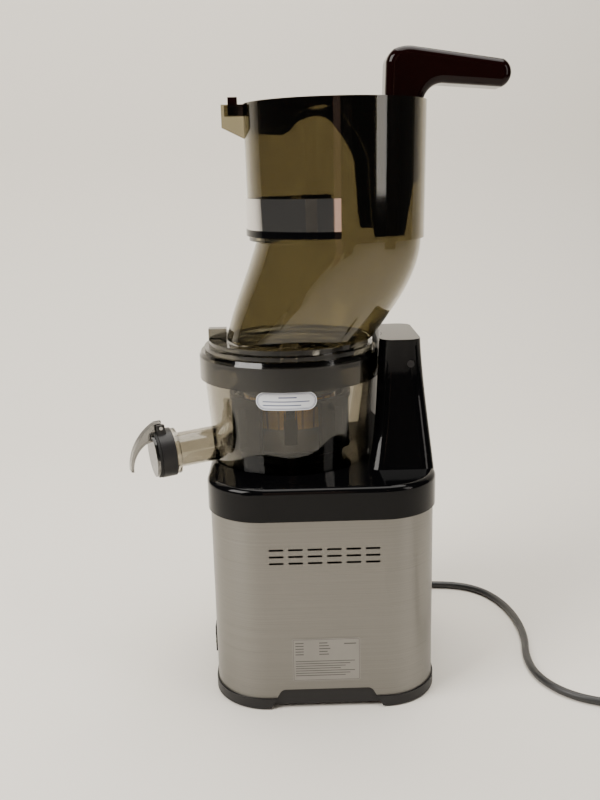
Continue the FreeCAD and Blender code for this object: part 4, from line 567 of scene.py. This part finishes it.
def hole_shade_discs_on_cone():
    """Rows of small flat round discs on an upright cone; in black they stand in for holes, as painted shade
    of the dark inside together with the real dark auger behind.
    """
    tree, given, result = new_tree("hole_shade_discs_on_cone", {
        "Columns": ("Int", 60), "Rows": ("Int", 12), "Low Radius": ("Float", 0.04),
        "High Radius": ("Float", 0.04), "Low": ("Float", 0.0), "High": ("Float", 0.04),
        "Middle X": ("Float", 0.0), "Hole": ("Float", 0.001), "Finish": ("Material", None)})
    count = math_node(tree, "MULTIPLY", given["Columns"], given["Rows"])
    points = tree.nodes.new("GeometryNodePoints")
    tree.links.new(count, points.inputs["Count"])
    index = tree.nodes.new("GeometryNodeInputIndex").outputs[0]
    row = math_node(tree, "FLOOR", math_node(tree, "DIVIDE", index, given["Columns"]), 0.0)
    column = math_node(tree, "MODULO", index, given["Columns"])
    offset = math_node(tree, "MULTIPLY", math_node(tree, "MODULO", row, 2.0), 0.5)
    turn = math_node(tree, "MULTIPLY", math_node(tree, "DIVIDE", math_node(tree, "ADD", column, offset),
                                                 given["Columns"]), 2 * math.pi)
    part = math_node(tree, "DIVIDE", row, math_node(tree, "SUBTRACT", given["Rows"], 1.0))
    radius = between(tree, part, given["Low Radius"], given["High Radius"])
    out_x = math_node(tree, "COSINE", turn, 0.0)
    out_y = math_node(tree, "SINE", turn, 0.0)
    x = math_node(tree, "ADD", math_node(tree, "MULTIPLY", radius, out_x), given["Middle X"])
    y = math_node(tree, "MULTIPLY", radius, out_y)
    move = tree.nodes.new("GeometryNodeSetPosition")
    tree.links.new(points.outputs[0], move.inputs["Geometry"])
    height = between(tree, part, given["Low"], given["High"])
    tree.links.new(vector(tree, x, y, height), move.inputs["Position"])
    face = tree.nodes.new("FunctionNodeAlignRotationToVector")
    face.axis = "Z"
    tree.links.new(vector(tree, out_x, out_y, 0.0), face.inputs["Vector"])
    disc = tree.nodes.new("GeometryNodeMeshCylinder")
    disc.inputs["Vertices"].default_value = 8
    disc.inputs["Depth"].default_value = 0.0002
    tree.links.new(given["Hole"], disc.inputs["Radius"])
    spread = tree.nodes.new("GeometryNodeInstanceOnPoints")
    tree.links.new(move.outputs[0], spread.inputs["Points"])
    tree.links.new(disc.outputs["Mesh"], spread.inputs["Instance"])
    tree.links.new(face.outputs[0], spread.inputs["Rotation"])
    end_tree(tree, given, result, spread.outputs[0])
    return tree


def ribs_on_boot():
    """Round ribs along a tapered sleeve that points along Y."""
    tree, given, result = new_tree("ribs_on_boot", {
        "Ribs": ("Int", 6), "Start Radius": ("Float", 0.007), "End Radius": ("Float", 0.005),
        "Rib": ("Float", 0.0007), "Start": ("Vector", None), "Step": ("Vector", None),
        "Finish": ("Material", None)})
    line = tree.nodes.new("GeometryNodeMeshLine")
    tree.links.new(given["Ribs"], line.inputs["Count"])
    tree.links.new(given["Start"], line.inputs["Start Location"])
    tree.links.new(given["Step"], line.inputs["Offset"])
    index = tree.nodes.new("GeometryNodeInputIndex").outputs[0]
    part = math_node(tree, "DIVIDE", index, math_node(tree, "SUBTRACT", given["Ribs"], 1.0))
    ratio = math_node(tree, "DIVIDE", given["End Radius"], given["Start Radius"])
    size = between(tree, part, 1.0, ratio)
    ring = tree.nodes.new("GeometryNodeCurvePrimitiveCircle")
    ring.inputs["Resolution"].default_value = 32
    tree.links.new(given["Start Radius"], ring.inputs["Radius"])
    section = tree.nodes.new("GeometryNodeCurvePrimitiveCircle")
    section.inputs["Resolution"].default_value = 8
    tree.links.new(given["Rib"], section.inputs["Radius"])
    tube = tree.nodes.new("GeometryNodeCurveToMesh")
    tree.links.new(ring.outputs["Curve"], tube.inputs["Curve"])
    tree.links.new(section.outputs["Curve"], tube.inputs["Profile Curve"])
    spread = tree.nodes.new("GeometryNodeInstanceOnPoints")
    spread.inputs["Rotation"].default_value = (math.radians(90), 0, 0)
    tree.links.new(line.outputs[0], spread.inputs["Points"])
    tree.links.new(tube.outputs[0], spread.inputs["Instance"])
    tree.links.new(size, spread.inputs["Scale"])
    end_tree(tree, given, result, spread.outputs[0])
    return tree


def grow(name, tree, values, finish, body):
    """Run a geometry tree once and keep its result as a plain mesh on a body."""
    seed = bpy.data.objects.new(name, bpy.data.meshes.new(name))
    bpy.context.scene.collection.objects.link(seed)
    step = seed.modifiers.new(name, "NODES")
    step.node_group = tree
    sockets = {item.name: item.identifier for item in tree.interface.items_tree if item.in_out == "INPUT"}
    for label, value in values.items():
        step[sockets[label]] = value
    step[sockets["Finish"]] = FINISH[finish]
    ready = seed.evaluated_get(bpy.context.evaluated_depsgraph_get())
    mesh = bpy.data.meshes.new_from_object(ready)
    seed.modifiers.clear()
    seed.data = mesh
    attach(seed, body)
    return seed


def make_repeats():
    strainer_low, strainer_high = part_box("strainer")
    # Black discs, not cut holes: painted shade for the dark inside of the strainer, where the black auger
    # would also show through the holes.
    grow("strainer_hole_shade_discs", hole_shade_discs_on_cone(), {
        "Columns": 96, "Rows": 13, "Low Radius": 0.0396, "High Radius": 0.0409,
        "Low": strainer_low[2] + 0.0245, "High": strainer_high[2] - 0.004, "Middle X": BOWL_X,
        "Hole": 0.00045}, "wiper_black", "bowl_set")
    grow("gland_ribs", ribs_on_boot(), {
        "Ribs": 6, "Start Radius": 0.0068, "End Radius": 0.0052, "Rib": 0.0007,
        "Start": (0.030, 0.1055, 0.036), "Step": (0.0, 0.0028, 0.0)}, "rubber_black", "base")


# ---------------------------------------------------------------- cord

EXIT = (0.030, 0.121, 0.036)
LEAD = [(0.030, 0.144, 0.034), (0.026, 0.167, 0.024), (0.0205, 0.184, 0.0145)]
RUN = [(0.028, 0.151, 0.0035), (0.072, 0.137, 0.0035), (0.116, 0.124, 0.0035), (0.150, 0.121, 0.0035),
       (0.175, 0.106, 0.0035), (0.190, 0.078, 0.0035), (0.197, 0.042, 0.0035), (0.196, 0.002, 0.0035),
       (0.187, -0.036, 0.0035), (0.189, -0.072, 0.0035), (0.208, -0.101, 0.0035),
       (0.240, -0.116, 0.0035), (0.274, -0.122, 0.0045), (0.304, -0.126, 0.009)]
COIL_CENTRE = (-0.025, 0.190)
COIL_TURNS = 3.72
COIL_START = math.radians(8)
COIL_STEPS = 14


def coil_points():
    """Turns that wind in on top, drop to the floor inside and wind out again."""
    points = []
    count = round(COIL_TURNS * COIL_STEPS)
    for step in range(count + 1):
        turns = COIL_TURNS * step / count
        if turns < 1.05:
            radius = 0.0425 - 0.0072 * turns
            height = 0.0107
        elif turns < 1.55:
            part = (turns - 1.05) / 0.5
            radius = 0.0349 - 0.0040 * part
            height = 0.0107 - 0.0072 * part
        else:
            radius = 0.0309 + 0.0072 * (turns - 1.55)
            height = 0.0035
        angle = COIL_START + 2 * math.pi * turns
        points.append((COIL_CENTRE[0] + radius * math.cos(angle),
                       COIL_CENTRE[1] + radius * math.sin(angle), height))
    return points


def make_cord():
    curve = bpy.data.curves.new("mains_cord", "CURVE")
    curve.dimensions = "3D"
    curve.bevel_depth = 0.0035
    curve.bevel_resolution = 5
    curve.resolution_u = 6
    curve.use_fill_caps = True
    points = [EXIT] + LEAD + coil_points() + RUN
    spline = curve.splines.new("NURBS")
    spline.points.add(len(points) - 1)
    for point, place in zip(spline.points, points):
        point.co = (*place, 1.0)
    spline.order_u = 3
    spline.use_endpoint_u = True
    cord = bpy.data.objects.new("mains_cord", curve)
    bpy.context.scene.collection.objects.link(cord)
    curve.materials.append(FINISH["cord_black"])
    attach(cord, "base")
    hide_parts("cord_lead", "cord_coil", "cord_run")


make_camera()
make_stage()
make_cards()
make_lights()
finish_nodes()
make_repeats()
make_cord()
